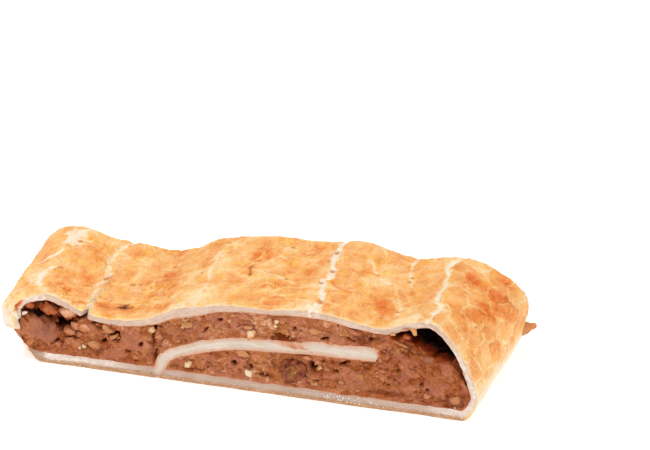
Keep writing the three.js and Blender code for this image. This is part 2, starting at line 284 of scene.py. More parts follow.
# the crust: places are mm along the sheet from the left crest and mm back from the front cut
crust = {
    "blister": (0.6, 8.5),  # rise, span
    "dimple": (0.34, 3.0),
    "creases": [(9.0, 0.09, 0.22), (5.0, 0.12, 0.16)],  # span, width, rise
    "lineStep": 0.2,  # between samples of a crack or a dark line
    "lineJitter": (0.6, 2.2),  # how far it wanders, span
    "lip": (0.14, 1.2, 0.7),  # beside a crack: rise, distance in its widths, reach
    "cracks": [  # width, depth, whiteness, and the spots they run through
        (1.5, 0.4, 1.0, [(81.0, -1.0), (82.6, 7.2), (80.4, 15.0), (79.8, 19.0), (80.3, 25.2),
                         (78.2, 35.2), (77.9, 41.0), (78.4, 48.0)]),
        (1.3, 0.4, 0.85, [(116.0, -1.0), (117.2, 10.8), (114.7, 16.0), (114.1, 25.0), (112.8, 33.5),
                          (110.3, 41.0), (114.5, 48.0)]),
        (0.7, 0.2, 0.5, [(88.2, 38.0), (90.2, 34.5), (92.5, 30.2), (95.7, 26.5), (98.3, 26.8),
                         (101.1, 21.2), (104.1, 14.0), (104.7, 9.2)]),
        (0.8, 0.2, 0.6, [(99.9, 48.0), (99.9, 42.2), (100.5, 36.2), (102.3, 31.0), (103.8, 25.8)]),
        (0.7, -0.32, 0.36, [(50.5, 13.0), (53.1, 15.2), (57.4, 20.0), (62.6, 21.0), (67.9, 19.2),
                            (73.6, 15.8), (82.2, 15.0), (91.0, 17.5)]),
        (1.6, 0.2, 0.5, [(13.4, -1.0), (12.6, 6.5), (12.0, 13.2), (11.0, 17.5), (12.3, 23.0),
                         (10.3, 32.0), (10.6, 41.5), (14.0, 48.0)]),
        (1.1, 0.15, 0.95, [(-1.4, 3.5), (-2.2, 6.0), (-3.3, 10.3), (-3.4, 14.5), (-2.2, 17.8),
                           (-0.4, 19.6)]),
        (0.9, 0.15, 0.95, [(-8.0, 21.0), (-6.2, 22.8), (-3.2, 26.9), (-3.0, 30.0)]),
        (1.4, 0.1, 0.8, [(-3.4, 33.0), (-3.2, 37.0), (-1.5, 42.0), (0.0, 47.0)]),
        (0.9, 0.12, 0.5, [(46.5, 3.0), (45.5, 8.5), (46.2, 16.0), (44.7, 24.8), (44.0, 35.5), (46.0, 44.0)]),
        (0.6, -0.25, 0.32, [(12.3, 22.0), (17.0, 21.0), (22.5, 22.8), (28.0, 19.0), (36.0, 21.0)]),
        (0.6, -0.25, 0.3, [(57.4, 20.0), (56.0, 27.0), (60.0, 36.0), (68.0, 42.0)]),
    ],
    "darkLine": (0.06, 0.55),  # depth, how dark
    "darkLines": [  # width, and the spots
        (0.28, [(129.1, 28.8), (128.3, 31.2), (129.4, 35.0), (131.4, 38.5)]),
        (0.3, [(126.9, 17.2), (128.8, 14.8), (129.1, 12.2)]),
        (0.7, [(56.2, 26.2), (57.0, 22.5), (58.0, 19.0)]),
    ],
    "hole": (0.24, 0.5, 1.3),  # depth, how dark its painted shade is, and reach in radii
    "holes": [  # place and radius of the docking holes
        (82.6, 7.0, 0.75), (79.3, 18.0, 0.7), (80.3, 26.5, 0.8), (77.7, 39.2, 0.8), (92.5, 30.2, 0.6),
        (102.0, 32.8, 0.5), (102.2, 30.0, 0.55), (12.3, 23.0, 0.85), (-0.1, 19.0, 0.75), (0.0, 37.2, 0.7),
        (104.7, 11.0, 0.55), (20.4, 22.0, 0.7), (22.5, 22.8, 0.5), (64.6, 39.8, 0.6), (68.6, 19.2, 0.5),
    ],
    "stains": [  # place, reach along and back, and how dark
        (22.5, 8.0, 2.4, 1.5, 0.9), (17.2, 6.0, 0.9, 0.6, 0.5), (29.6, 34.0, 0.7, 0.6, 0.6),
        (29.8, 25.2, 1.0, 1.0, 0.3), (42.0, 22.8, 0.6, 0.9, 0.4), (100.5, 6.5, 0.8, 0.8, 0.3),
    ],
    "toasted": [  # place, reach along and back, and how much browner
        (57.4, 34.8, 5.0, 4.0, 0.22), (28.0, 24.5, 9.0, 6.0, 0.12),
        (6.0, 14.0, 6.0, 10.0, 0.16), (127.0, 26.0, 8.0, 13.0, 0.16), (96.0, 12.0, 7.0, 4.0, 0.14),
        (66.0, 6.0, 9.0, 2.5, 0.14), (88.0, 10.0, 4.0, 4.0, 0.1), (70.0, 26.0, 6.0, 7.0, 0.1),
        (17.2, 6.0, 3.0, 1.6, 0.3), (5.0, 30.0, 3.0, 6.0, 0.12),
    ],
    "floury": [  # place, reach along and back, and how much paler
        (-1.4, 40.0, 3.6, 8.0, 0.58), (-4.5, 9.0, 2.0, 4.0, 0.3), (46.0, 9.0, 4.0, 8.0, 0.3),
        (44.0, 32.0, 2.5, 7.0, 0.3), (81.0, 2.0, 4.0, 2.5, 0.6), (104.7, 8.8, 1.4, 1.4, 0.6),
        (40.0, 1.0, 5.0, 3.0, 0.35), (-13.0, 2.0, 7.0, 4.0, 0.4), (-18.0, 2.5, 5.0, 5.0, 0.8),
        (112.0, 3.0, 3.0, 3.0, 0.4),
    ],
    "plated": (110.0, 121.0),  # where along the sheet the crackle grows strong
    "flaky": (31.0, 17.0, 14.0, 14.0),  # place and reach of the wrinkled hollow
}


def lineTree(lines):
    # samples of the lines to look up by place: each has its spot, its width there and its line's own values
    far, span = crust["lineJitter"]
    samples = []
    for width, *own, spots in lines:
        line = evenSpots(throughSpots(spots, 12), crust["lineStep"])
        for k, spot in enumerate(line):
            place = (spot.x, spot.y, 0.0)
            jitter = Vector((bumps(place, span, 4.0), bumps(place, span, 9.0)))
            broad = width * (1.0 + 0.8 * bumps(place, 3.5, 13.0))
            ends = 0.3 + 0.7 * smooth(0.0, 12.0, min(k, len(line) - 1 - k))  # narrower at both ends
            samples.append((spot + far * jitter, broad * ends, *own))
    tree = kdtree.KDTree(len(samples))
    for k, sample in enumerate(samples):
        tree.insert((*sample[0], 0.0), k)
    tree.balance()
    return tree, samples


def blotch(along, back, spot):
    spotAlong, spotBack, reachAlong, reachBack = spot[:4]
    return math.hypot((along - spotAlong) / reachAlong, (back - spotBack) / reachBack)


def crustAt(column, back, place, trees):
    along = column.along
    spread = (along, back, 0.0)
    height = place[2]
    cracks, darkLines = trees
    rise, span = crust["blister"]
    relief = rise * bumps(place, span)
    rise, span = crust["dimple"]
    relief += rise * noise.fractal(Vector(place) / span, 0.6, 2.2, 4)
    bake = 0.5 + 0.16 * bumps(place, 14.0, 3.0) + 0.14 * bumps(place, 5.0, 6.0)
    bake -= 0.3 * relief  # painted shade: hollows are coloured browner and the rises between them paler
    plated = smooth(*crust["plated"], along)
    for span, width, rise in crust["creases"]:
        drift = bumps(spread, 2.2 * span, 31.0)
        fold = bumps((0.8 * along, back, 3.0 * drift), span, 27.0)
        here = smooth(-0.05, 0.35, bumps(spread, 2.5 * span, 35.0)) * (1.0 - 0.8 * plated)
        crease = here * (1.0 - smooth(0.3 * width, width, abs(fold)))
        relief += rise * crease
        # painted shadow beside each crease, and a painted highlight on the crease itself
        bake += here * (0.14 * hump(fold + 2.0 * width, 0.8 * width) - 0.2 * crease)

    tree, samples = cracks
    _, nearest, distance = tree.find(spread)
    _, width, deep, white = samples[nearest]
    edge = distance + 0.22 * bumps(spread, 0.9, 21.0)
    gape = 1.0 - smooth(0.15 * width, 0.85 * width, edge)
    rise, beside, reach = crust["lip"]
    relief += rise * hump(distance - beside * width, reach) - deep * gape
    dust = hump(distance, 1.9 * width) * smooth(-0.2, 0.6, bumps(spread, 1.3, 23.0))
    pale = white * (gape * (0.85 + 0.5 * bumps(spread, 1.7, 17.0)) + 0.45 * (1.0 - gape) * dust)

    tree, samples = darkLines
    _, nearest, distance = tree.find(spread)
    _, width = samples[nearest]
    line = 1.0 - smooth(0.4 * width, 1.2 * width, distance)
    deep, dark = crust["darkLine"]
    relief -= deep * line
    char = dark * line

    # painted shade: each docking hole is dented and also coloured dark
    deep, dark, reach = crust["hole"]
    for holeAlong, holeBack, radius in crust["holes"]:
        away = math.hypot(along - holeAlong, back - holeBack)
        if away < 4.0 * radius:
            dent = hump(away, reach * radius)
            relief -= deep * dent
            char = max(char, dark * dent)
    for spot in crust["stains"]:
        away = blotch(along, back, spot)
        if away < 3.0:
            char = max(char, spot[4] * (1.0 - smooth(0.4, 1.4, away + 0.7 * bumps(spread, 0.8, 2.0))))
    for spot in crust["toasted"]:
        bake += spot[4] * (1.0 - smooth(0.4, 1.4, blotch(along, back, spot) + 0.4 * bumps(spread, 3.0, 7.0)))
    for spot in crust["floury"]:
        mottle = 0.6 * bumps(spread, 3.0, 5.0) + 0.8 * bumps(spread, 1.1, 8.0)
        pale = max(pale, spot[4] * (1.0 - smooth(0.2, 1.4, blotch(along, back, spot) + mottle)))

    plate = mix(0.4, 1.0, plated)
    bake += 0.1 * plated
    flaky = 1.0 - smooth(0.5, 1.2, blotch(along, back, crust["flaky"]))
    if flaky > 0.0:
        drawn = Vector((along * 0.30 - back * 0.62, along * 0.13 + back * 0.08, 0.0))
        ridge = noise.noise(drawn) + 0.6 * noise.noise(drawn * 2.3)
        relief += 0.5 * flaky * ridge
        bake += 0.3 * flaky * ridge
        pale = max(pale, 0.45 * flaky * smooth(0.35, 0.7, ridge))

    if along > 100.0:  # the right fold turns pale towards the base
        low = 1.0 - smooth(3.0, 15.0, height)
        streak = noise.noise(Vector((back * 0.55, height * 0.06, 4.0)))
        bake -= 0.28 * low * (1.0 + 0.5 * streak)
        foot = 1.0 - smooth(1.0, 12.0, height + 2.0 * streak)
        pale = max(pale, low * smooth(-0.5, 0.5, streak) * 0.7, 0.9 * foot)
    ragged = 1.0 + bumps(spread, 1.6, 11.0)
    bake -= 0.15 * hump(back, 2.2 * ragged + 0.1)  # paler beside the front cut
    pale = max(pale, 0.35 * hump(back, 0.6 * ragged + 0.1))
    relief -= 0.2 * hump(back, 0.5) + 0.2 * hump(roll["depth"] - back, 0.5)  # soft edge at the cuts
    return relief, bake, pale, char, plate


def finishMesh(bm, name, materials):
    bmesh.ops.recalc_face_normals(bm, faces=bm.faces[:])
    bmesh.ops.scale(bm, vec=(mm, mm, mm), verts=bm.verts[:])
    for face in bm.faces:
        face.smooth = True
    mesh = bpy.data.meshes.new(name)
    bm.to_mesh(mesh)
    bm.free()
    for material in materials:
        mesh.materials.append(material)
    piece = bpy.data.objects.new(name, mesh)
    bpy.context.scene.collection.objects.link(piece)
    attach(piece, "root")
    print("made", name, "with", sum(len(face.vertices) - 2 for face in mesh.polygons), "triangles")
    return piece


def sideOf(face):
    # of a slab: 0 is its near side, 2 its far side, 1 the walls between
    depths = [vert.co.z for vert in face.verts]
    return 0 if max(depths) < 0.01 else 2 if min(depths) > 0.99 else 1


def slab(acrossSteps, upSteps, throughCuts):
    # a flat block from 0 to 1 each way, with its walls cut into rows and sharp rims
    bm = bmesh.new()
    bmesh.ops.create_grid(bm, x_segments=acrossSteps, y_segments=upSteps, size=0.5)
    bmesh.ops.translate(bm, vec=(0.5, 0.5, 0.0), verts=bm.verts[:])
    thickened = bmesh.ops.extrude_face_region(bm, geom=bm.faces[:], use_keep_orig=True)
    far = [item for item in thickened["geom"] if isinstance(item, bmesh.types.BMVert)]
    bmesh.ops.translate(bm, vec=(0.0, 0.0, 1.0), verts=far)
    walls = [edge for edge in bm.edges if abs(edge.verts[0].co.z - edge.verts[1].co.z) > 0.5]
    bmesh.ops.subdivide_edges(bm, edges=walls, cuts=throughCuts, use_grid_fill=True)
    for edge in bm.edges:
        edge.smooth = len({sideOf(face) for face in edge.link_faces}) == 1
    return bm


pastry = {
    "rows": 82,
    "rimCuts": 4,
    "marks": ("bake", "pale", "char", "plate", "gold", "juice", "through", "skin", "moist"),
    "baseBake": 0.72,
}


def dryAt(column, through, flat):
    # how white the cut is, paler or not along each leg; painted light makes the left end of the roof whiter
    if through <= sheet["skinDeep"]:
        return 0.0
    dry = sheet["dry"].get(column.leg, 0.0)
    if column.leg == "leftBase":
        dry *= smooth(0.0, 0.5, column.share)
    elif column.leg == "rightFold":
        dry *= 1.0 - 0.6 * smooth(18.0, 25.0, flat.y)
    elif column.leg == "rightBase":
        dry *= 1.0 - smooth(0.0, 0.2, column.share)
    elif column.leg == "roof":
        # painted light: whiter towards the roof's left end, where its cut lies in shade
        dry += 0.2 * (1.0 - smooth(-46.0, -22.0, flat.x)) + 0.35 * hump(flat.x - 34.0, 13.0)
    return dry


def moistAt(column):
    if column.leg == "root":
        return 1.0 - smooth(0.3, 0.9, column.share)
    return 1.0 if column.leg == "tongue" else 0.0


def makePastry(columns, materials):
    bm = slab(len(columns) - 1, pastry["rows"], pastry["rimCuts"])
    for face in bm.faces:
        face.material_index = sideOf(face)
    layers = [bm.verts.layers.float.new(name) for name in pastry["marks"]]
    trees = lineTree(crust["cracks"]), lineTree(crust["darkLines"])
    share, span = sheet["uneven"]
    gapShare, gapReach, gapThrough, gapWide, gapDeep = sheet["gap"]
    stain, stainReach = sheet["stained"]
    tipAlong = columns[0].along
    spots = []  # where each corner lies on the sheet: along it, back from the cut and through it
    for vert in bm.verts:
        column = columns[round(vert.co.x * (len(columns) - 1))]
        through, deep = vert.co.z, vert.co.y * roll["depth"]
        thick = column.thick * (1.0 + share * bumps((column.along, deep, 0.0), span, 3.0))
        thick *= 1.0 + 0.5 * share * bumps((column.along, deep, 0.0), 0.25 * span, 8.0)
        toTip = min((column.along - tipAlong) / sheet["tipRound"], 1.0)
        rounded = mix(0.35, 1.0, math.sqrt(1.0 - (1.0 - toTip) ** 2))
        flat = inside(column, thick * (0.5 + (through - 0.5) * rounded))
        spots.append((column.along, deep, thick * through))
        y = mix(cutAt(-1, flat) + tornBack(column), cutAt(1, flat), vert.co.y)
        onCrust = smooth(0.0, 0.3, column.crust)
        relief, bake, pale, char, plate = 0.0, 0.5, 0.0, 0.0, 0.0
        if through < 1.0 and onCrust > 0.0:
            relief, bake, pale, char, plate = crustAt(column, deep, (flat.x, y, flat.y), trees)
        raised = flat - column.inwards * (column.crust * relief * (1.0 - through))
        gap = 0.0
        if column.leg == "leftFold" and deep < 0.01:  # the fold's edge has come apart in two
            gap = hump(column.share - gapShare, gapReach) * hump(through - gapThrough, gapWide)
        vert.co = settled(raised.x, y + gapDeep * gap, raised.y)
        bake = mix(pastry["baseBake"], bake, onCrust)
        pale = max(pale * onCrust, dryAt(column, through, flat))
        char = max(char * onCrust, gap)
        juice = max(juiceAt(flat), stain * (1.0 - smooth(0.0, stainReach, column.along - tipAlong)))
        marks = bake, pale, char, plate, onCrust, juice, through, column.skin, moistAt(column)
        for layer, value in zip(layers, marks):
            vert[layer] = value
    bm.verts.index_update()
    unrolled = bm.loops.layers.uv.new("unrolled")  # in centimetres
    for face in bm.faces:
        for loop in face.loops:
            along, deep, inwards = spots[loop.vert.index]
            loop[unrolled].uv = (0.1 * along, 0.1 * (inwards if face.material_index == 1 else deep))
    piece = finishMesh(bm, "pastrySheet", materials)
    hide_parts("pastry")


# the filling: steps of its band, and its lumps and pits on the cuts
filling = {
    "stretchSteps": (300, 84, 170),  # above the tongue, round its tip and under it
    "riseSteps": 52,
    "depthCuts": 20,
    "reachIn": 0.15,  # into the sheet round it, so that no gap shows
    "recess": 0.05,  # behind the cut
    "lumps": [  # size, rise, seam, tone
        (5.2, 0.5, 0.35, 0.16), (2.1, 0.4, 0.3, 0.26), (0.95, 0.24, 0.14, 0.36),
    ],
    "grit": (0.55, 0.12),  # size, rise
    "pitCells": (2.6, 0.22, 0.62),  # spacing, and the smallest and largest radius
    "edgeRound": 3.4,  # of the paste's edge at a cave
    "sunken": [  # place, sink, reach
        (50.6, 2.7, 5.2), (64.2, 1.3, 4.0), (-63.0, 1.5, 4.0), (-52.0, 1.0, 3.0),
        (55.0, 1.2, 1.7), (59.0, -1.5, 1.8), (62.8, 1.4, 1.5),
    ],
    "clinging": (9.5, 12.0),  # heights between which the paste comes off the walls
    "hollow": 6.0,  # how much lower the floor of a cave lies behind the cut
    "juice": [  # x, z, half width, half height, strength: dark moist stains on the front cut
        (13.4, 17.9, 5.2, 1.7, 1.0), (16.4, 16.0, 5.4, 1.1, 0.9), (14.0, 8.3, 5.0, 4.0, 0.45),
        (-49.6, 9.9, 2.8, 1.4, 0.8), (-42.0, 9.8, 2.4, 1.4, 0.5), (40.0, 21.6, 4.5, 1.4, 0.5),
        (28.0, 12.6, 7.0, 1.2, 0.5), (44.0, 5.4, 9.0, 1.6, 0.6), (-63.0, 4.6, 3.0, 1.6, 0.5),
        (8.0, 5.6, 5.0, 1.0, 0.5), (-16.0, 17.8, 3.0, 1.6, 0.35), (-26.0, 8.0, 1.6, 5.0, 0.5),
        (60.0, 5.4, 5.0, 1.6, 0.4), (-58.6, 16.6, 8.0, 2.0, 0.6),
    ],
    "mounds": [  # x, z, half width, half height, rise, how mauve: smooth lumps of paste
        (-60.3, 10.6, 6.4, 4.8, 1.6, 0.9), (-31.6, 11.0, 4.6, 4.0, 0.9, 0.4),
        (-45.8, 11.9, 2.8, 2.2, 0.9, 1.0), (55.6, 18.0, 2.6, 2.0, 0.7, 0.8),
        (61.4, 15.4, 2.6, 2.2, 0.8, 0.1), (59.2, 19.8, 2.4, 1.8, 0.8, 0.0),
        (-36.0, 6.4, 3.8, 2.4, 0.4, 0.3), (57.0, 9.0, 4.0, 3.0, 0.4, 0.3),
        (-20.0, 15.6, 3.0, 2.0, 0.4, 0.3), (-7.5, 21.6, 3.2, 1.6, 0.4, 0.4),
        (29.0, 20.4, 3.2, 1.8, 0.4, 0.4), (36.0, 6.4, 3.4, 1.8, 0.4, 0.2), (-9.0, 8.6, 2.8, 1.6, 0.4, 0.3),
    ],
    "pits": [  # x, z, half width, half height, lean in degrees, depth
        (-52.7, 12.7, 3.6, 2.2, -24.0, 8.0), (-42.0, 13.3, 1.7, 1.1, -20.0, 5.0),
        (-36.8, 11.2, 1.2, 1.4, -40.0, 4.0), (-40.7, 9.0, 1.1, 0.6, 20.0, 2.4),
        (-48.4, 10.6, 1.5, 0.9, 20.0, 2.2), (-62.9, 15.5, 1.8, 1.5, 10.0, 5.0),
        (16.1, 21.4, 0.7, 0.6, 0.0, 3.0), (21.2, 10.2, 1.2, 1.7, 25.0, 3.6),
        (30.8, 13.0, 1.8, 0.5, 25.0, 2.4), (38.5, 21.5, 0.65, 0.55, 0.0, 2.6),
        (13.0, 18.6, 2.8, 0.8, -12.0, 1.2), (65.0, 13.7, 0.9, 0.7, 20.0, 2.4),
        (-25.4, 15.2, 0.5, 1.9, -12.0, 2.2), (-25.7, 11.6, 0.45, 2.4, 4.0, 1.7),
        (-25.0, 7.4, 0.4, 2.6, -6.0, 1.4), (55.2, 8.2, 0.6, 0.8, 10.0, 1.4),
        (66.8, 11.8, 0.5, 0.5, 20.0, 1.8), (44.0, 8.0, 0.6, 0.5, 0.0, 1.4), (6.7, 5.4, 1.8, 0.5, -8.0, 1.6),
        (-10.2, 17.0, 1.3, 0.35, 50.0, 1.6), (60.9, 6.8, 0.55, 0.5, 0.0, 1.6),
        (48.6, 19.6, 2.6, 0.3, -22.0, 1.4), (-2.0, 8.0, 0.7, 0.9, 20.0, 2.0),
        (3.0, 7.4, 0.6, 0.8, 10.0, 2.2), (28.4, 9.8, 0.8, 0.5, 10.0, 1.8),
        (53.6, 9.4, 0.6, 0.5, -20.0, 1.6), (46.6, 12.4, 0.5, 0.45, 30.0, 1.2),
        (-56.0, 7.4, 1.2, 0.6, 15.0, 1.6), (-33.4, 7.2, 1.0, 0.5, -20.0, 1.6),
        (-29.4, 10.0, 0.7, 0.8, 0.0, 1.8), (-6.0, 20.8, 0.9, 0.6, 30.0, 2.0),
        (25.0, 19.8, 1.2, 0.6, 20.0, 2.0), (33.0, 20.4, 0.9, 0.5, -15.0, 1.8),
    ],
}


def fillingRungs(columns):
    legs = lambda *names: [column for column in columns if column.leg in names]
    reachIn = filling["reachIn"]
    tongue, rightBase = legs("tongue"), legs("rightBase")
    roof = legs("leftFold", "roof")
    tip = tongue[0]
    tipX = roll["tongueSpots"][0][0]
    onSheet = lambda column: inside(column, column.thick - reachIn)
    underSheet = lambda column: inside(column, reachIn)
    sinkOf = lambda column: sinkAt(column.at.x) * smooth(*filling["clinging"], column.at.y)
    underRoof = lambda column: inside(column, column.thick - reachIn + sinkOf(column))
    floors = [
        [onSheet(column) for column in legs("tongue", "root", "leftBase", "leftCorner")[::-1]],
        [onSheet(tip), inside(tip, tip.thick / 2.0) - Vector((reachIn, 0.0)), underSheet(tip)],
        [underSheet(column) for column in tongue],
    ]
    ceilings = [
        [underRoof(column) for column in roof if column.at.x <= tipX],
        [underRoof(column) for column in roof if column.at.x > tipX]
        + [underRoof(column) for column in legs("rightFold")]
        + [onSheet(column) for column in legs("rightCorner")]
        + [onSheet(column) for column in rightBase if column.at.x > tipX],
        [onSheet(column) for column in rightBase if column.at.x <= tipX] + [onSheet(legs("end")[1])],
    ]
    length = lambda line: sum((end - start).length for start, end in zip(line, line[1:]))
    rungs = []
    for floor, ceiling, steps in zip(floors, ceilings, filling["stretchSteps"]):
        lower = evenSpots(floor, length(floor) / steps)
        upper = evenSpots(ceiling, length(ceiling) / steps)
        rungs += list(zip(lower, upper))[1 if rungs else 0:]
    return rungs


def juiceAt(flat):
    wet = 0.0
    for x, z, halfWide, halfHigh, strength in filling["juice"]:
        away = math.hypot((flat.x - x) / halfWide, (flat.y - z) / halfHigh)
        if away < 1.8:
            away += 0.5 * bumps((flat.x, flat.y, 0.0), 1.3, 15.0)
            wet = max(wet, strength * (1.0 - smooth(0.3, 1.3, away)))
    return wet


def pittedAt(place):
    # small holes at scattered spots: 1 in the middle of one, 0 outside
    spacing, least, most = filling["pitCells"]
    (near, *_), (centre, *_) = noise.voronoi(place / spacing + Vector((3.7, 0.0, 1.9)))
    chance = noise.noise(centre * 6.1)
    radius = mix(least, most, smooth(0.05, 0.6, chance)) * (1.0 + 0.6 * bumps(place, 0.7, 2.0))
    return (1.0 - smooth(0.55 * radius, 1.15 * radius, near * spacing)) if chance > 0.02 else 0.0


def cragAt(flat, side):
    place = Vector((flat.x, 60.0 * side, flat.y))
    drift = Vector((bumps(place, 2.2, 1.0), 0.0, bumps(place, 2.2, 5.0)))
    height = tone = hue = mauve = 0.0
    for size, rise, hollow, tint in filling["lumps"]:
        (near, second, *_), (centre, *_) = noise.voronoi((place + 0.4 * size * drift) / size)
        rank = noise.noise(centre * 4.7)
        seam = 1.0 - smooth(0.0, 0.17, second - near)
        gaping = smooth(0.0, 0.4, noise.noise(centre * 2.1 + Vector((7.0, 0.0, 0.0))))
        height += rise * (1.4 * rank - 0.9 * near * near) - 0.9 * hollow * seam * gaping
        # painted shade: the tone is darker along the open seams between lumps
        tone += tint * (rank - 0.5 * seam * gaping)
        hue += noise.noise(centre * 3.3 + Vector((0.0, 5.0, 2.0)))
    gritSize, gritRise = filling["grit"]
    height += gritRise * bumps(place, gritSize, 3.0) + 0.3 * bumps(place, 9.0, 8.0)
    # painted shade: low parts of the paste are coloured darker and high parts lighter
    tone += 0.2 * min(max(height, -0.9), 0.6)
    upper = 1.0 + 0.2 * smooth(13.0, 18.0, flat.y)
    # paler in the middle
    tone += 0.3 * hump(flat.x - 4.0, 26.0) * upper - 0.08 * smooth(25.0, 52.0, abs(flat.x))
    pit = 0.6 * pittedAt(place)
    height -= 1.6 * pit
    if side < 0:
        for moundX, moundZ, halfWide, halfHigh, rise, tinge in filling["mounds"]:
            away = math.hypot((flat.x - moundX) / halfWide, (flat.y - moundZ) / halfHigh)
            away += 0.16 * bumps(place, 2.0, 12.0)
            calm = 0.8 * (1.0 - smooth(0.5, 1.05, away))
            height = mix(height, rise * (1.0 - away * away) + 0.22 * bumps(place, 1.5, 14.0), calm)
            tone = mix(tone, 0.05, 0.7 * calm)
            hue = mix(hue, -0.6, calm)
            mauve = max(mauve, tinge * (1.0 - smooth(0.1, 1.0, away)))
            pit *= 1.0 - calm
        for pitX, pitZ, halfWide, halfHigh, lean, deep in filling["pits"]:
            away = Vector((flat.x - pitX, flat.y - pitZ))
            if away.length < 6.0:
                away.rotate(Euler((0.0, 0.0, math.radians(-lean))).to_matrix().to_2x2())
                far = math.hypot(away.x / halfWide, away.y / halfHigh) + 0.6 * bumps(place, 0.9, 4.0)
                hole = 1.0 - smooth(0.5, 1.2, far)
                height -= deep * hole
                pit = max(pit, hole * smooth(0.0, 3.0, deep))  # painted shade: the deeper the pit the darker it is coloured, and a shallow pit stays brown
    return height, tone, hue, pit, mauve


def makeFilling(columns, material):
    rungs = fillingRungs(columns)
    bm = slab(len(rungs) - 1, filling["riseSteps"], filling["depthCuts"])
    kinds = ("tone", "hue", "pit", "mauve")
    layers = {name: bm.verts.layers.float.new(name) for name in (*kinds, "inner", "near", "juice")}
    crags = {}
    for vert in bm.verts:
        rung, rise = round(vert.co.x * (len(rungs) - 1)), vert.co.y
        floor, ceiling = rungs[rung]
        flat = floor.lerp(ceiling, rise)
        key = (rung, round(rise * filling["riseSteps"]))
        if key not in crags:
            crags[key] = cragAt(flat, -1), cragAt(flat, 1)
        atFront, atBack = crags[key]
        back = 0.5 - 0.5 * math.cos(math.pi * vert.co.z)  # rows crowd towards the cuts
        away = min(rise, 1.0 - rise) * (ceiling - floor).length
        free = mix(0.1, 1.0, smooth(0.1, 1.1, away))  # flush along the sheet
        front = cutAt(-1, flat) + free * (filling["recess"] - atFront[0])
        rear = cutAt(1, flat) - free * (filling["recess"] - atBack[0])
        sunk = smooth(0.3, 2.0, sinkAt(flat.x)) * rise if ceiling.y > floor.y else 0.0
        sunk *= smooth(*filling["clinging"], ceiling.y)
        ragged = 0.7 * bumps((flat.x, 0.0, 0.0), 2.6, 4.0) * smooth(0.0, 20.0, flat.x)
        edgeRound = filling["edgeRound"] * (1.0 + ragged)
        toEdge = max(0.0, 1.0 - (1.0 - rise) * (ceiling - floor).length / edgeRound)
        rounded = sunk * edgeRound * (1.0 - math.sqrt(1.0 - toEdge * toEdge))
        y = mix(front + rounded, rear - rounded, back)
        place = (flat.x, y, flat.y)
        lumps = 1.2 * bumps(place, 4.5, 2.0) + 0.9 * bumps(place, 1.9, 6.0) + 0.4 * bumps(place, 0.8, 9.0)
        within = smooth(0.0, 0.3, min(back, 1.0 - back))
        vert.co = settled(flat.x, y, flat.y + sunk * (lumps - 0.5 - filling["hollow"] * within))
        side = atFront if back < 0.5 else atBack
        for kind, value in zip(kinds, side[1:]):
            vert[layers[kind]] = value
        # inner: painted shade of the caves, dark inside the paste and along a cave's rounded rim
        behind = smooth(0.0, 0.09, min(back, 1.0 - back))
        toRight = smooth(-10.0, 10.0, flat.x)
        rim = mix(0.15, 0.6, toRight) * smooth(0.1, 1.0, toEdge)
        shallow = mix(0.45, 1.0, toRight)  # the left cave is lit further in
        vert[layers["inner"]] = shallow * max(behind, rim) * smooth(0.0, 0.3, sunk)
        vert[layers["near"]] = 1.0 - smooth(0.1, 1.4, away)
        vert[layers["juice"]] = juiceAt(flat)
    piece = finishMesh(bm, "nutFilling", [material])
    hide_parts("filling")


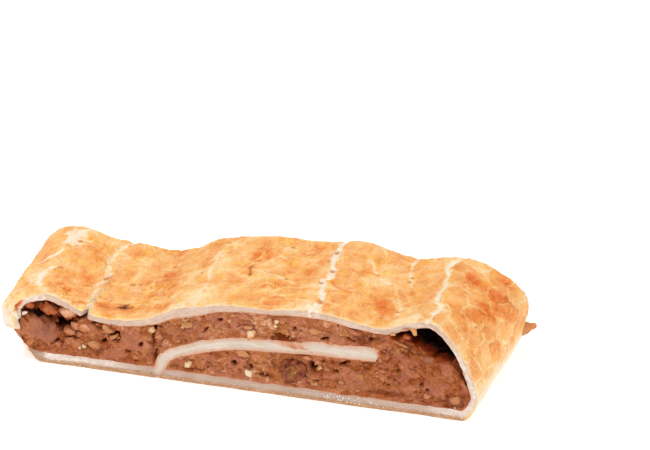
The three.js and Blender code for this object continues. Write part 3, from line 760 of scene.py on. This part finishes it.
# the chopped pieces: x, z, half width, half height, lean in degrees, how far behind the cut, tint
nuts = {
    "cream": [
        (3.1, 17.8, 1.6, 1.5, 10.0, 0.0, 0.8), (2.4, 5.3, 1.7, 1.8, -20.0, 0.0, 1.0),
        (-15.5, 5.7, 1.2, 1.0, 0.0, 0.0, 1.0), (-46.3, 6.7, 0.7, 0.7, 0.0, 0.0, 1.0),
        (-26.1, 14.9, 1.0, 1.0, 30.0, 0.0, 0.6), (23.6, 10.5, 0.8, 1.0, -20.0, 0.1, 0.4),
        (-17.0, 17.2, 0.8, 0.6, 20.0, 0.0, 0.5), (10.9, 23.3, 0.8, 0.8, 0.0, 0.0, 0.7),
        (10.6, 21.9, 0.6, 0.5, 0.0, 0.0, 0.8), (63.4, 3.7, 0.6, 0.5, 0.0, 0.0, 0.5),
        (-47.6, 5.8, 0.5, 0.5, 0.0, 0.0, 0.9), (-3.0, 20.8, 1.1, 0.6, 25.0, 0.0, 0.3),
        (6.7, 24.0, 1.3, 0.8, -10.0, 0.1, 0.2), (40.6, 18.4, 0.6, 0.5, 0.0, 0.0, 0.4),
    ],
    "tan": [
        (-15.7, 18.4, 2.0, 1.1, 10.0, 0.1, 0.85), (1.2, 11.4, 2.2, 1.1, -10.0, 0.1, 0.75),
        (2.5, 19.8, 1.7, 0.8, 0.0, 0.1, 0.7), (35.9, 9.2, 1.3, 0.9, -15.0, 0.0, 1.0),
        (22.6, 21.9, 2.1, 1.2, -10.0, 0.1, 0.8), (34.5, 23.0, 2.5, 0.7, -25.0, 0.0, 0.4),
        (19.8, 13.0, 1.5, 0.6, -5.0, 0.1, 0.6), (63.4, 6.1, 2.0, 1.6, 10.0, 0.1, 0.5),
        (-43.4, 7.5, 2.6, 1.7, 5.0, 0.0, 0.6), (-48.1, 12.2, 1.8, 1.5, -30.0, 0.2, 0.6),
        (-50.8, 10.5, 2.0, 1.5, -10.0, 0.1, 0.5), (-39.2, 12.3, 2.1, 1.2, -15.0, 0.3, 0.7),
        (-37.1, 13.9, 1.1, 0.8, 0.0, 0.1, 0.3), (-37.9, 10.6, 1.5, 1.0, 20.0, 0.4, 0.8),
        (-23.9, 13.0, 1.3, 1.1, 0.0, 0.1, 0.5), (48.0, 20.0, 2.1, 0.5, -25.0, 0.0, 0.6),
        (50.6, 14.1, 1.2, 0.9, 0.0, 0.1, 0.3), (30.0, 6.6, 1.2, 0.7, 0.0, 0.1, 0.5),
        (-55.4, 6.2, 1.2, 0.9, 0.0, 0.1, 0.4), (-31.0, 5.6, 1.5, 0.8, 0.0, 0.1, 0.5),
        (-8.0, 17.6, 1.2, 0.8, 30.0, 0.1, 0.6), (42.0, 12.0, 1.3, 0.8, -20.0, 0.1, 0.4),
        (41.3, 15.3, 0.8, 0.8, 0.0, 0.1, 0.5), (55.0, 6.0, 1.3, 0.9, 10.0, 0.1, 0.6),
    ],
    "caked": [  # broken kernels and lumps in the caves; those set further behind the cut have darker tints, painted shade of the caves
        (-62.8, 17.2, 1.8, 1.2, -15.0, 1.0, 0.42), (-60.2, 16.2, 1.7, 1.7, 20.0, 3.0, 0.35),
        (-56.3, 15.3, 2.9, 1.8, -28.0, 1.8, 0.5), (-51.6, 15.1, 2.6, 1.5, -36.0, 0.3, 0.92),
        (-45.7, 12.3, 2.3, 1.7, -12.0, 0.5, 0.75), (-65.2, 15.4, 1.4, 1.7, 10.0, 2.2, 0.45),
        (-53.6, 16.4, 1.6, 1.2, 0.0, 4.0, 0.2), (-47.8, 10.3, 1.4, 1.0, -35.0, 0.2, 0.65),
        (-50.8, 10.6, 1.6, 1.2, 15.0, 0.2, 0.6), (-42.4, 12.7, 1.3, 1.0, 0.0, 1.2, 0.35),
        (-58.4, 17.6, 2.2, 1.4, 0.0, 4.5, 0.3), (-63.6, 14.0, 1.4, 1.0, 0.0, 3.0, 0.2),
        (48.4, 25.2, 1.5, 0.5, 8.0, 0.0, 0.9), (45.4, 24.3, 1.3, 0.5, 10.0, 0.0, 0.8),
        (66.0, 15.0, 0.6, 0.7, 20.0, 0.2, 0.9), (67.4, 12.8, 0.5, 0.6, 20.0, 0.1, 0.8),
        (49.0, 22.4, 1.4, 0.6, -20.0, 0.8, 0.4), (-58.7, 15.6, 1.8, 1.6, 10.0, 3.2, 0.4),
    ],
    "raisin": [(15.4, 8.5, 3.7, 3.7, 20.0)],  # x, z, half width, half height, lean
    "proud": {"cream": 0.4, "tan": 0.3, "caked": 0.8},  # how far a kind may stand out of the cut
    "smallTan": (100, 0.25, 0.66),  # how many on each cut, least and most half width
    "smallCream": (16, 0.2, 0.42),
    "detail": 4,  # how often a ball's faces are split
    "smallDetail": 2,
    "raisinDetail": 5,
    "flats": (9, 0.35, 0.8),  # how many are knocked off a ball, and how near its middle
    "tilt": 0.5,
    "seed": 7,
}


def choppedPiece(bm, layer, rng, place, sizes, lean, tint, detail, cut=None):
    # a ball with flats knocked off it, and sliced where it passes the cut
    many, near, far = nuts["flats"]
    tilt = nuts["tilt"]
    flats = []
    for _ in range(many):
        direction = Vector((rng.gauss(0.0, 1.0), rng.gauss(0.0, 1.0), rng.gauss(0.0, 1.0))).normalized()
        flats.append((direction, rng.uniform(near, far)))
    turn = Euler((rng.uniform(-tilt, tilt), math.radians(-lean), rng.uniform(-tilt, tilt)))
    for vert in bmesh.ops.create_icosphere(bm, subdivisions=detail, radius=1.0)["verts"]:
        spot = vert.co.copy()
        for direction, height in flats:
            spot -= direction * max(spot.dot(direction) - height, 0.0)
        spot *= 1.25 + 0.3 * noise.noise(spot * 1.7 + place) + 0.2 * noise.noise(spot * 4.0 + place)
        spot = Vector((spot.x * sizes[0], spot.y * sizes[1], spot.z * sizes[2]))
        spot.rotate(turn)
        spot += place
        if cut is not None:
            face = cut + 0.3 * noise.noise(spot * 1.1)
            spot.y = max(spot.y, face) if place.y < 0.0 else min(spot.y, face)
        rim = smooth(0.5, 1.0, math.hypot((spot.x - place.x) / sizes[0], (spot.z - place.z) / sizes[2]))
        vert.co = spot
        # darker towards its rim, and lighter towards its top: painted light from above
        vert[layer] = tint - 0.45 * rim + 0.3 * (spot.z - place.z) / sizes[2]


def tintedMesh():
    bm = bmesh.new()
    return bm, bm.verts.layers.float.new("tint")


def makeNuts(columns, kind, name, material):
    rng = random.Random(nuts["seed"] + len(name))
    bm, layer = tintedMesh()
    for x, z, halfWide, halfHigh, lean, behind, tint in nuts[kind]:
        flat = Vector((x, z))
        front = cutAt(-1, flat)
        place = settled(x, front + behind + 0.25 * halfWide, z)
        sizes = (halfWide, 0.8 * max(halfWide, halfHigh), halfHigh)
        choppedPiece(bm, layer, rng, place, sizes, lean, tint, nuts["detail"], front - nuts["proud"][kind])
    many, least, most = nuts.get("small" + kind.capitalize(), (0, 0.0, 0.0))
    rungs = fillingRungs(columns)
    for side in (-1, 1):
        for _ in range(many):
            floor, ceiling = rungs[rng.randrange(12, len(rungs) - 12)]
            flat = floor.lerp(ceiling, rng.uniform(0.06, 0.94))
            half = mix(least, most, rng.random() ** 2)
            front = cutAt(side, flat)
            place = settled(flat.x, front - side * rng.uniform(0.0, 0.3), flat.y)
            sizes = (half, half * rng.uniform(0.7, 1.0), half * rng.uniform(0.5, 0.9))
            lean, tint = rng.uniform(-60.0, 60.0), rng.random()
            choppedPiece(bm, layer, rng, place, sizes, lean, tint, nuts["smallDetail"], front + 0.3 * side)
    piece = finishMesh(bm, name, [material])


def makeRaisins(material):
    # a cut raisin: a wrinkled dark ring round a hollow with a lighter middle
    bm, layer = tintedMesh()
    for x, z, halfWide, halfHigh, lean in nuts["raisin"]:
        place = settled(x, cutAt(-1, Vector((x, z))), z)
        turn = Euler((0.0, math.radians(-lean), 0.0))
        for vert in bmesh.ops.create_icosphere(bm, subdivisions=nuts["raisinDetail"], radius=1.0)["verts"]:
            spot = vert.co.copy()
            out = math.hypot(spot.x, spot.z)
            around = Vector((1.6 * spot.x, 0.0, 1.6 * spot.z))
            folds = noise.fractal(around * 1.4 + place, 0.5, 2.1, 4)
            shape = noise.noise(around * 0.6 + place)
            dish = 0.9 * (1.0 - smooth(0.2, 0.6, out + 0.25 * folds))
            spot *= 1.0 + 0.14 * folds + 0.35 * shape
            spot.y = max(spot.y, -0.35 - 0.2 * folds) + dish * (spot.y < 0.0)
            spot = Vector((spot.x * halfWide, 1.6 * spot.y, spot.z * halfHigh))
            spot.rotate(turn)
            vert.co = place + spot
            # a lighter middle, and painted shade: lighter where the folds stand out and darker in the
            # creases between them
            vert[layer] = 0.25 + 0.75 * (1.0 - smooth(0.05, 0.6, out + 0.4 * shape)) + 0.3 * folds
    piece = finishMesh(bm, "raisins", [material])


# flakes: place, size along and across, bend, turn in degrees, tint
flakes = {
    "spots": [
        ((72.2, 21.6, 8.5), 4.2, 3.0, 0.4, (60.0, -10.0, 25.0), 0.8),
        ((51.2, -22.8, 26.2), 2.8, 1.7, 0.2, (85.0, 70.0, 0.0), 0.75),
        ((-66.5, -23.2, 13.8), 2.4, 1.3, 0.3, (70.0, 50.0, -10.0), 0.0),
        ((-64.0, -22.6, 14.6), 1.5, 0.8, 0.3, (80.0, -20.0, 10.0), 0.0),
    ],
    "thick": 0.35,
    "segments": (12, 9),
    "crumbs": (26, 0.12, 0.34),  # how many, least and most half width
    "crumbSpan": (-58.0, 66.0),  # along the foot of the cut
    "grains": (50, 0.1, 0.26),
    "rightGrains": (0.25, (58.0, 67.0), (0.4, 3.4)),  # share of them, and where on the cut
    "midGrains": (33.0, 4.0, (0.8, 3.0)),  # middle and spread along the cut, and heights
    "seed": 19,
}


def makeFlakes(material):
    rng = random.Random(flakes["seed"])
    bm, layer = tintedMesh()
    lengthwise, crosswise = flakes["segments"]
    for place, long, across, bend, turn, tint in flakes["spots"]:
        leaf, leafLayer = tintedMesh()
        bmesh.ops.create_grid(leaf, x_segments=lengthwise, y_segments=crosswise, size=0.5)
        for vert in leaf.verts:
            x, y = vert.co.x, vert.co.y
            ragged = 1.0 + 0.35 * noise.noise(Vector((3.0 * x, 3.0 * y, place[2])))
            lift = bend * (4.0 * x * x - 2.0 * y * y)
            lift += 0.25 * noise.noise(Vector((4.0 * x, 4.0 * y, place[0])))
            vert.co = Vector((x * long * ragged, y * across * ragged * mix(1.3, 0.5, x + 0.5), lift))
        bmesh.ops.solidify(leaf, geom=leaf.faces[:], thickness=flakes["thick"])
        spin = Euler([math.radians(angle) for angle in turn]).to_matrix().to_4x4()
        bmesh.ops.transform(leaf, matrix=spin, verts=leaf.verts[:])
        bmesh.ops.translate(leaf, vec=place, verts=leaf.verts[:])
        for vert in leaf.verts:
            vert[leafLayer] = tint
        holder = bpy.data.meshes.new("leaf")
        leaf.to_mesh(holder)
        leaf.free()
        bm.from_mesh(holder)
        bpy.data.meshes.remove(holder)
    many, least, most = flakes["crumbs"]
    for _ in range(many):  # golden crumbs along the foot of the cut
        x = rng.uniform(*flakes["crumbSpan"])
        half = rng.uniform(least, most)
        place = Vector((x, cutAt(-1, Vector((x, 0.5))) - 0.2 * half, rng.uniform(0.2, 1.2)))
        sizes, tint = (half, 0.7 * half, 0.7 * half), rng.uniform(0.2, 0.7)
        choppedPiece(bm, layer, rng, place, sizes, 0.0, tint, nuts["smallDetail"])
    piece = finishMesh(bm, "crustFlakes", [material])


def makeGrains(material):
    rng = random.Random(flakes["seed"])
    bm, layer = tintedMesh()
    many, least, most = flakes["grains"]
    rightShare, rightSpan, rightHeights = flakes["rightGrains"]
    middle, spread, midHeights = flakes["midGrains"]
    for _ in range(many):  # coarse flour and sugar on the moist base
        onRight = rng.random() < rightShare
        x = rng.uniform(*rightSpan) if onRight else rng.gauss(middle, spread)
        z = rng.uniform(*(rightHeights if onRight else midHeights))
        half = rng.uniform(least, most)
        place = Vector((x, cutAt(-1, Vector((x, z))) - 0.3 * half, z))
        choppedPiece(bm, layer, rng, place, (half, half, half), 0.0, 1.0, nuts["smallDetail"])
    piece = finishMesh(bm, "flourGrains", [material])


class Wire:
    # a socket in a shader tree: sums on wires add Math nodes
    def __init__(self, look, socket):
        self.look = look
        self.socket = socket

    def sum(self, operation, first, second):
        return self.look.add("ShaderNodeMath", {"operation": operation}, {0: first, 1: second})

    def __add__(self, other):
        return self.sum("ADD", self, other)

    def __radd__(self, other):
        return self.sum("ADD", other, self)

    def __sub__(self, other):
        return self.sum("SUBTRACT", self, other)

    def __rsub__(self, other):
        return self.sum("SUBTRACT", other, self)

    def __mul__(self, other):
        return self.sum("MULTIPLY", self, other)

    def __rmul__(self, other):
        return self.sum("MULTIPLY", other, self)

    def above(self, low, high):
        # 0 below low, 1 above high
        settings = {"interpolation_type": "SMOOTHSTEP"}
        return self.look.add("ShaderNodeMapRange", settings, {"Value": self, 1: low, 2: high})


class Look:
    # a material: its shader, and the one way to add a node to it
    def __init__(self, name, **constants):
        self.material = bpy.data.materials.new(name)
        self.material.use_nodes = True
        self.tree = self.material.node_tree
        self.shader = self.tree.nodes["Principled BSDF"]
        for socket, value in constants.items():
            self.shader.inputs[socket.replace("_", " ")].default_value = value

    def add(self, kind, settings, sockets, output=0):
        node = self.tree.nodes.new(kind)
        for name, value in settings.items():
            if name == "stops":
                self.setStops(node.color_ramp, value)
            else:
                setattr(node, name, value)
        for name, value in sockets.items():
            if isinstance(value, Wire):
                self.tree.links.new(value.socket, node.inputs[name])
            else:
                node.inputs[name].default_value = value
        return Wire(self, node.outputs[output])

    def setStops(self, ramp, stops):
        while len(ramp.elements) < len(stops):
            ramp.elements.new(1.0)
        for element, (place, *screen) in zip(ramp.elements, stops):
            element.position = place
            element.color = paint(*screen)

    def feed(self, socket, wire):
        self.tree.links.new(wire.socket, self.shader.inputs[socket])

    def places(self):
        return self.add("ShaderNodeTexCoord", {}, {}, "Object")

    def attribute(self, name):
        return self.add("ShaderNodeAttribute", {"attribute_name": name}, {}, "Fac")

    def frayed(self, name, share, span, detail):
        # an attribute with its edges broken up by noise
        mark = self.attribute(name)
        return mark + share * self.grain(span, detail) * mark.above(0.02, 0.2)

    def cloud(self, places, scale, detail, roughness):
        # noise round zero
        sockets = {"Vector": places, "Scale": scale, "Detail": detail, "Roughness": roughness}
        return self.add("ShaderNodeTexNoise", {}, sockets) - 0.5

    def grain(self, span, detail=2.0, roughness=0.5):
        # noise of a size in millimetres
        return self.cloud(self.places(), 1.0 / (span * mm), detail, roughness)

    def onSheet(self, along, back):
        # places on the unrolled sheet, one step for so many millimetres
        unrolled = self.add("ShaderNodeUVMap", {"uv_map": "unrolled"}, {})
        scaled = {0: unrolled, 1: (10.0 / along, 10.0 / back, 1.0)}
        return self.add("ShaderNodeVectorMath", {"operation": "MULTIPLY"}, scaled)

    def streaks(self, along, back, detail=3.0, roughness=0.5):
        # noise drawn on the sheet
        return self.cloud(self.onSheet(along, back), 1.0, detail, roughness)

    def net(self, along, back, wobble):
        # cells drawn on the sheet: how far a spot is inside its cell, and each cell's own chance
        drawn = self.onSheet(along, back)
        sway = self.add("ShaderNodeTexNoise", {}, {"Vector": drawn, "Scale": 1.7, "Detail": 3.0}, "Color")
        moves = {0: sway, 1: (wobble, wobble, 0.0), 2: drawn}
        moved = self.add("ShaderNodeVectorMath", {"operation": "MULTIPLY_ADD"}, moves)
        cells = {"Vector": moved, "Scale": 1.0}
        edges = {"feature": "DISTANCE_TO_EDGE", "voronoi_dimensions": "2D"}
        inwards = self.add("ShaderNodeTexVoronoi", edges, cells, "Distance")
        colour = self.add("ShaderNodeTexVoronoi", {"voronoi_dimensions": "2D"}, cells, "Color")
        return inwards, self.add("ShaderNodeSeparateColor", {}, {0: colour}) - 0.5

    def ramp(self, value, stops):
        return self.add("ShaderNodeValToRGB", {"stops": stops}, {0: value})

    def blend(self, share, first, second, how="MIX"):
        settings = {"data_type": "RGBA", "blend_type": how, "clamp_factor": True}
        return self.add("ShaderNodeMix", settings, {0: share, 6: first, 7: second}, 2)

    def bump(self, height, distance, strength=1.0):
        sockets = {"Height": height, "Distance": distance * mm, "Strength": strength}
        return self.add("ShaderNodeBump", {}, sockets)


def paint(red, green, blue):
    # a colour by its screen values, as linear light
    straight = lambda v: v / 12.92 if v <= 0.04045 else ((v + 0.055) / 1.055) ** 2.4
    return (*(straight(value / 255.0) for value in (red, green, blue)), 1.0)


def crustLook():
    look = Look("bakedCrust", Specular_IOR_Level=0.25, Subsurface_Weight=0.08, Subsurface_Scale=1.0 * mm,
                Subsurface_Radius=(1.0, 0.45, 0.2))
    plate = look.attribute("plate")
    inPlate, plateChance = look.net(6.5, 8.5, 0.55)
    inScale, scaleChance = look.net(3.4, 4.2, 0.6)
    broken = look.grain(3.0, 2.0).above(-0.2, 0.06)
    seam = (0.9 * (1.0 - inPlate.above(0.0, 0.12)) + 0.35 * (1.0 - inScale.above(0.0, 0.15))) * broken
    fine = look.streaks(0.8, 1.3, 4.0, 0.7)
    broad = look.streaks(2.4, 4.2, 3.0, 0.6)
    mottle = 0.75 * look.streaks(5.0, 9.0, 4.0, 0.6) + 0.5 * broad + 0.45 * fine
    mottle = (mottle + 0.25 * look.grain(0.35, 1.0)) * (1.15 - 0.4 * plate)
    cells = plate * (0.36 * plateChance + 0.16 * scaleChance - 0.33 * seam)
    pale = look.frayed("pale", 0.4, 0.8, 3.0)
    mottle = mottle - 0.5 * pale.above(0.0, 0.7)
    colour = look.ramp(look.attribute("bake") + mottle + cells, [
        (0.0, 247, 217, 172),
        (0.25, 247, 200, 137),
        (0.48, 244, 178, 107),
        (0.7, 235, 150, 77),
        (0.88, 228, 119, 43),
        (1.0, 204, 92, 26),
    ])
    gilt = look.grain(4.0, 4.0, 0.6).above(0.0, 0.14)  # more golden in patches
    colour = look.blend(gilt, colour, (1.0, 0.985, 0.66, 1.0), "MULTIPLY")
    dust = look.streaks(2.0, 3.2, 5.0, 0.7).above(0.04, 0.3) * look.grain(7.0, 2.0).above(-0.16, 0.2)
    colour = look.blend(0.5 * dust, colour, paint(241, 206, 170))
    colour = look.blend(pale.above(0.1, 1.0), colour, paint(243, 231, 213))
    # burnt stains and dark lines, and painted shade in the docking holes, as one dark mark
    char = look.frayed("char", 0.4, 0.6, 2.0)
    colour = look.blend(0.8 * char.above(0.04, 0.4), colour, paint(206, 118, 46))
    colour = look.blend(char.above(0.3, 0.9), colour, paint(92, 27, 2))
    look.feed("Base Color", colour)
    look.feed("Roughness", 0.56 + 0.35 * look.grain(2.2, 2.0) + 0.2 * pale.above(0.2, 0.8))
    height = fine + 1.6 * broad - plate * (0.35 * seam - 0.4 * scaleChance)
    look.feed("Normal", look.bump(height, 0.9, 1.0))
    return look.material


def cutLook():
    look = Look("cutDough", Roughness=0.45, Specular_IOR_Level=0.3, Subsurface_Weight=0.2,
                Subsurface_Scale=1.0 * mm, Subsurface_Radius=(1.0, 0.7, 0.45))
    through, skin, moist = look.attribute("through"), look.attribute("skin"), look.attribute("moist")
    layers = 0.75 * look.streaks(9.0, 0.6) + 0.4 * look.grain(0.8, 3.0, 0.6) + 0.5 * look.grain(5.0, 2.0)
    roof = look.ramp(0.5 + layers, [
        (0.2, 164, 122, 95),
        (0.5, 188, 149, 122),
        (0.8, 211, 180, 155),
    ])
    base = look.ramp(0.5 + layers, [
        (0.2, 172, 142, 124),
        (0.5, 194, 168, 151),
        (0.8, 214, 194, 179),
    ])
    tongue = look.ramp(0.5 + layers, [
        (0.2, 196, 178, 158),
        (0.5, 209, 197, 181),
        (0.8, 221, 213, 201),
    ])
    gold = look.attribute("gold")
    dough = look.blend(gold, base, roof)
    dough = look.blend(0.45 * (through - 0.3 * (1.0 - gold)).above(0.3, 1.0), dough, paint(200, 146, 112))
    colour = look.blend(moist, dough, tongue)
    wander = 0.3 * look.grain(1.6, 3.0)
    inner = (through + wander + 0.45 * look.attribute("juice") + 0.2 * moist).above(0.7, 1.28)
    outer = (1.0 - (through + wander).above(-0.08, 0.5)) * moist
    colour = look.blend(0.75 * (inner + outer), colour, paint(204, 138, 98))
    syrup = (look.attribute("juice") + wander).above(0.5, 1.0)
    colour = look.blend(0.75 * syrup, colour, paint(184, 104, 48))
    floury = 0.7 + 1.5 * look.streaks(9.0, 1.2, 3.0, 0.6) + 1.2 * look.grain(1.2, 2.0)
    colour = look.blend(look.attribute("pale") * floury, colour, paint(246, 234, 222))
    browned = (1.0 - (through - skin + 2.0 * wander * skin).above(-0.14, 0.12)) * (1.0 - moist)
    crumb = look.ramp(0.5 + 0.8 * look.streaks(6.0, 0.6) + 0.6 * look.grain(0.8, 3.0), [
        (0.2, 154, 106, 70),
        (0.5, 190, 145, 108),
        (0.8, 221, 182, 146),
    ])
    crumb = look.blend(gold, crumb, paint(248, 202, 132))
    colour = look.blend(browned, colour, crumb)
    colour = look.blend(look.attribute("char").above(0.2, 0.8), colour, paint(206, 104, 34))
    look.feed("Base Color", colour)
    look.feed("Normal", look.bump(look.grain(0.7, 4.0, 0.6) + 0.6 * look.streaks(5.0, 0.8), 0.4, 0.7))
    return look.material


def insideLook():
    # the pastry's underside in the caves, in dark reds: partly the stain of the filling and partly painted
    # shade
    look = Look("stainedShadedDough", Roughness=0.8, Specular_IOR_Level=0.0)
    tone = 0.5 + look.grain(3.0, 4.0, 0.6)
    look.feed("Base Color", look.ramp(tone, [(0.25, 116, 20, 4), (0.75, 170, 52, 14)]))
    look.feed("Normal", look.bump(look.grain(1.2, 3.0), 0.3, 0.6))
    return look.material


def fillingLook():
    look = Look("nutPaste", Specular_IOR_Level=0.2, Specular_Tint=paint(255, 196, 150),
                Subsurface_Weight=0.06, Subsurface_Scale=0.8 * mm, Subsurface_Radius=(1.0, 0.4, 0.2))
    fine = look.grain(0.6, 3.0, 0.65)
    broad = look.grain(1.9, 3.0, 0.6)
    # painted shade: the tone follows the same noise as the bumps, so low spots are darker and high ones
    # lighter
    tone = 0.54 + 0.55 * look.attribute("tone") + 0.66 * fine + 0.5 * broad + 0.3 * look.grain(8.0, 2.0)
    colour = look.ramp(tone, [
        (0.0, 106, 34, 8),
        (0.28, 150, 70, 29),
        (0.5, 170, 98, 57),
        (0.72, 197, 128, 89),
        (0.9, 228, 174, 138),
        (1.0, 248, 214, 180),
    ])
    hue = look.attribute("hue") + look.grain(3.0, 3.0)
    colour = look.blend(0.6 * hue.above(0.15, 0.8), colour, paint(190, 114, 58))  # golden
    colour = look.blend(0.6 * (0.0 - hue).above(0.1, 0.7), colour, paint(188, 114, 90))  # rosy
    warm = look.grain(2.3, 3.0, 0.6).above(0.06, 0.26)
    colour = look.blend(0.5 * warm, colour, paint(160, 78, 32))  # moist
    colour = look.blend(0.7 * look.attribute("mauve"), colour, paint(140, 92, 76))
    fleck = look.grain(0.7, 3.0, 0.6).above(0.13, 0.24)
    colour = look.blend(0.6 * fleck, colour, paint(228, 168, 134))
    near = look.attribute("near") * look.grain(2.2, 3.0).above(-0.15, 0.15)
    colour = look.blend(0.5 * near, colour, paint(194, 102, 56))  # warmer orange along the sheet
    juice = look.frayed("juice", 0.5, 1.0, 3.0)
    colour = look.blend(0.9 * juice.above(0.2, 0.85), colour, paint(116, 46, 18))
    # painted shade: the pits are coloured dark, darkest in their middles
    pit = look.frayed("pit", 0.3, 0.7, 2.0)
    colour = look.blend(0.8 * pit.above(0.05, 0.45), colour, paint(152, 66, 20))
    colour = look.blend(0.97 * pit.above(0.3, 0.9), colour, paint(72, 15, 3))
    # painted shade inside the caves, darkening to deep reds
    inner = look.frayed("inner", 0.3, 1.4, 3.0)
    colour = look.blend(0.85 * inner.above(0.0, 0.4), colour, paint(164, 66, 18))
    colour = look.blend(0.97 * inner.above(0.2, 0.8), colour, paint(90, 20, 4))
    colour = look.blend(inner.above(0.55, 1.0), colour, paint(60, 10, 3))
    look.feed("Base Color", colour)
    look.feed("Roughness", 0.5 + 0.5 * look.grain(1.6, 2.0) - 0.15 * juice.above(0.2, 0.9))
    look.feed("Normal", look.bump(0.9 * fine + 1.2 * broad, 0.6, 1.0))
    return look.material


# the small pieces: stops of their colours, roughness, how far light goes in, and speckle
finishes = {
    "creamNut": ([(0.1, 200, 132, 86), (0.6, 230, 182, 130), (1.0, 246, 218, 182)], 0.45, 0.2, 0.8),
    "tanNut": ([
        (0.0, 132, 66, 36), (0.35, 186, 112, 72), (0.7, 206, 142, 94), (1.0, 184, 126, 62),
    ], 0.5, 0.1, 0.8),
    "cakedPaste": ([
        (0.0, 90, 30, 8), (0.35, 178, 80, 24), (0.65, 196, 122, 76), (1.0, 226, 176, 142),
    ], 0.45, 0.15, 0.8),
    "raisinSkin": ([
        (0.0, 96, 36, 14), (0.35, 146, 70, 38), (0.7, 164, 108, 58), (1.0, 180, 140, 80),
    ], 0.35, 0.1, 0.4),
    "looseCrust": ([
        (0.0, 244, 226, 204), (0.4, 246, 190, 120), (0.75, 218, 148, 92), (1.0, 206, 136, 96),
    ], 0.5, 0.1, 0.8),
    "coarseFlour": ([(0.0, 250, 246, 238), (1.0, 255, 253, 250)], 0.3, 0.1, 0.8),
}


def pieceLook(name):
    stops, gloss, depth, speckle = finishes[name]
    look = Look(name, Specular_IOR_Level=0.25, Subsurface_Weight=depth, Subsurface_Scale=1.0 * mm,
                Subsurface_Radius=(1.0, 0.55, 0.3))
    tone = look.attribute("tint") + speckle * look.grain(0.8, 4.0, 0.7) + 0.4 * look.grain(2.5, 2.0)
    look.feed("Base Color", look.ramp(tone, stops))
    look.feed("Roughness", gloss + 0.3 * look.grain(1.0, 2.0))
    look.feed("Normal", look.bump(look.grain(0.6, 4.0, 0.7) + 0.8 * look.grain(1.6, 2.0), 0.5, 0.9))
    return look.material


# the photograph's view, in mm and pixels
view = {
    "azimuth": 16.8,
    "elevation": 27.2,
    "distance": 4000.0,
    "pixelsPerMm": 3.53,
    "image": (650, 450),
    "cutFoot": (239.5, 390.2),  # pixel of the middle of the front cut's foot
    "sensor": 36.0,
}


def makeCamera():
    turn, tilt = math.radians(view["azimuth"]), math.radians(view["elevation"])
    away = Vector((math.sin(turn) * math.cos(tilt), -math.cos(turn) * math.cos(tilt), math.sin(tilt)))
    right = Vector((math.cos(turn), math.sin(turn), 0.0))
    up = away.cross(right)
    wide, high = view["image"]
    footX, footY = view["cutFoot"]
    foot = Vector((0.0, -roll["depth"] / 2.0, 0.0))
    aim = foot + right * ((wide / 2.0 - footX) / view["pixelsPerMm"])
    aim += up * ((footY - high / 2.0) / view["pixelsPerMm"])
    camera = bpy.data.objects.new("camera", bpy.data.cameras.new("camera"))
    camera.data.sensor_width = view["sensor"]
    camera.data.lens = view["pixelsPerMm"] * view["distance"] * view["sensor"] / wide
    camera.data.clip_end = 3.0 * view["distance"] * mm
    camera.location = (aim + away * view["distance"]) * mm
    camera.rotation_euler = (-away).to_track_quat("-Z", "Y").to_euler()
    bpy.context.scene.collection.objects.link(camera)
    bpy.context.scene.camera = camera
    print("camera set")


# light: each softbox has its place and size in metres and its power in watts
studio = {
    "sky": 0.44,
    "boxes": [
        ("keyBox", (-0.45, 0.25, 0.7), 0.3, 4.3),
        ("frontBox", (-0.12, -0.68, 0.8), 0.3, 4.6),
        ("rightBox", (0.9, 0.0, 0.4), 0.5, 4.4),
    ],
    "floorSize": 6.0,
    "floorDrop": 0.05,  # mm under the slice
    "floorTone": 0.93,
    "floorGlow": 0.34,  # the table is lit from below
}


def makeStudio():
    world = bpy.data.worlds.new("studio")
    world.use_nodes = True
    sky = world.node_tree.nodes["Background"]
    sky.inputs["Color"].default_value = (1.0, 1.0, 1.0, 1.0)
    sky.inputs["Strength"].default_value = studio["sky"]
    bpy.context.scene.world = world
    for name, place, size, power in studio["boxes"]:
        box = bpy.data.objects.new(name, bpy.data.lights.new(name, "AREA"))
        box.data.size = size
        box.data.energy = power
        box.location = place
        box.rotation_euler = (-Vector(place)).to_track_quat("-Z", "Y").to_euler()
        bpy.context.scene.collection.objects.link(box)
    bm = bmesh.new()
    bmesh.ops.create_grid(bm, x_segments=1, y_segments=1, size=studio["floorSize"] / 2.0)
    bmesh.ops.translate(bm, vec=(0.0, 0.0, -studio["floorDrop"] * mm), verts=bm.verts[:])
    mesh = bpy.data.meshes.new("floor")
    bm.to_mesh(mesh)
    bm.free()
    floor = bpy.data.objects.new("floor", mesh)
    bpy.context.scene.collection.objects.link(floor)
    tone = studio["floorTone"]
    look = Look("paleFloor", Roughness=0.9, Base_Color=(tone, tone, tone, 1.0), Specular_IOR_Level=0.1,
                Emission_Color=(1.0, 1.0, 1.0, 1.0), Emission_Strength=studio["floorGlow"])
    mesh.materials.append(look.material)
    bpy.context.scene.view_settings.view_transform = "Standard"
    print("studio set")


makeCamera()
makeStudio()
columns = sheetColumns()
print("sheet has", len(columns), "columns")
makePastry(columns, [crustLook(), cutLook(), insideLook()])
makeFilling(columns, fillingLook())
makeNuts(columns, "cream", "creamNuts", pieceLook("creamNut"))
makeNuts(columns, "tan", "tanNuts", pieceLook("tanNut"))
makeNuts(columns, "caked", "cakedLumps", pieceLook("cakedPaste"))
makeRaisins(pieceLook("raisinSkin"))
makeFlakes(pieceLook("looseCrust"))
makeGrains(pieceLook("coarseFlour"))
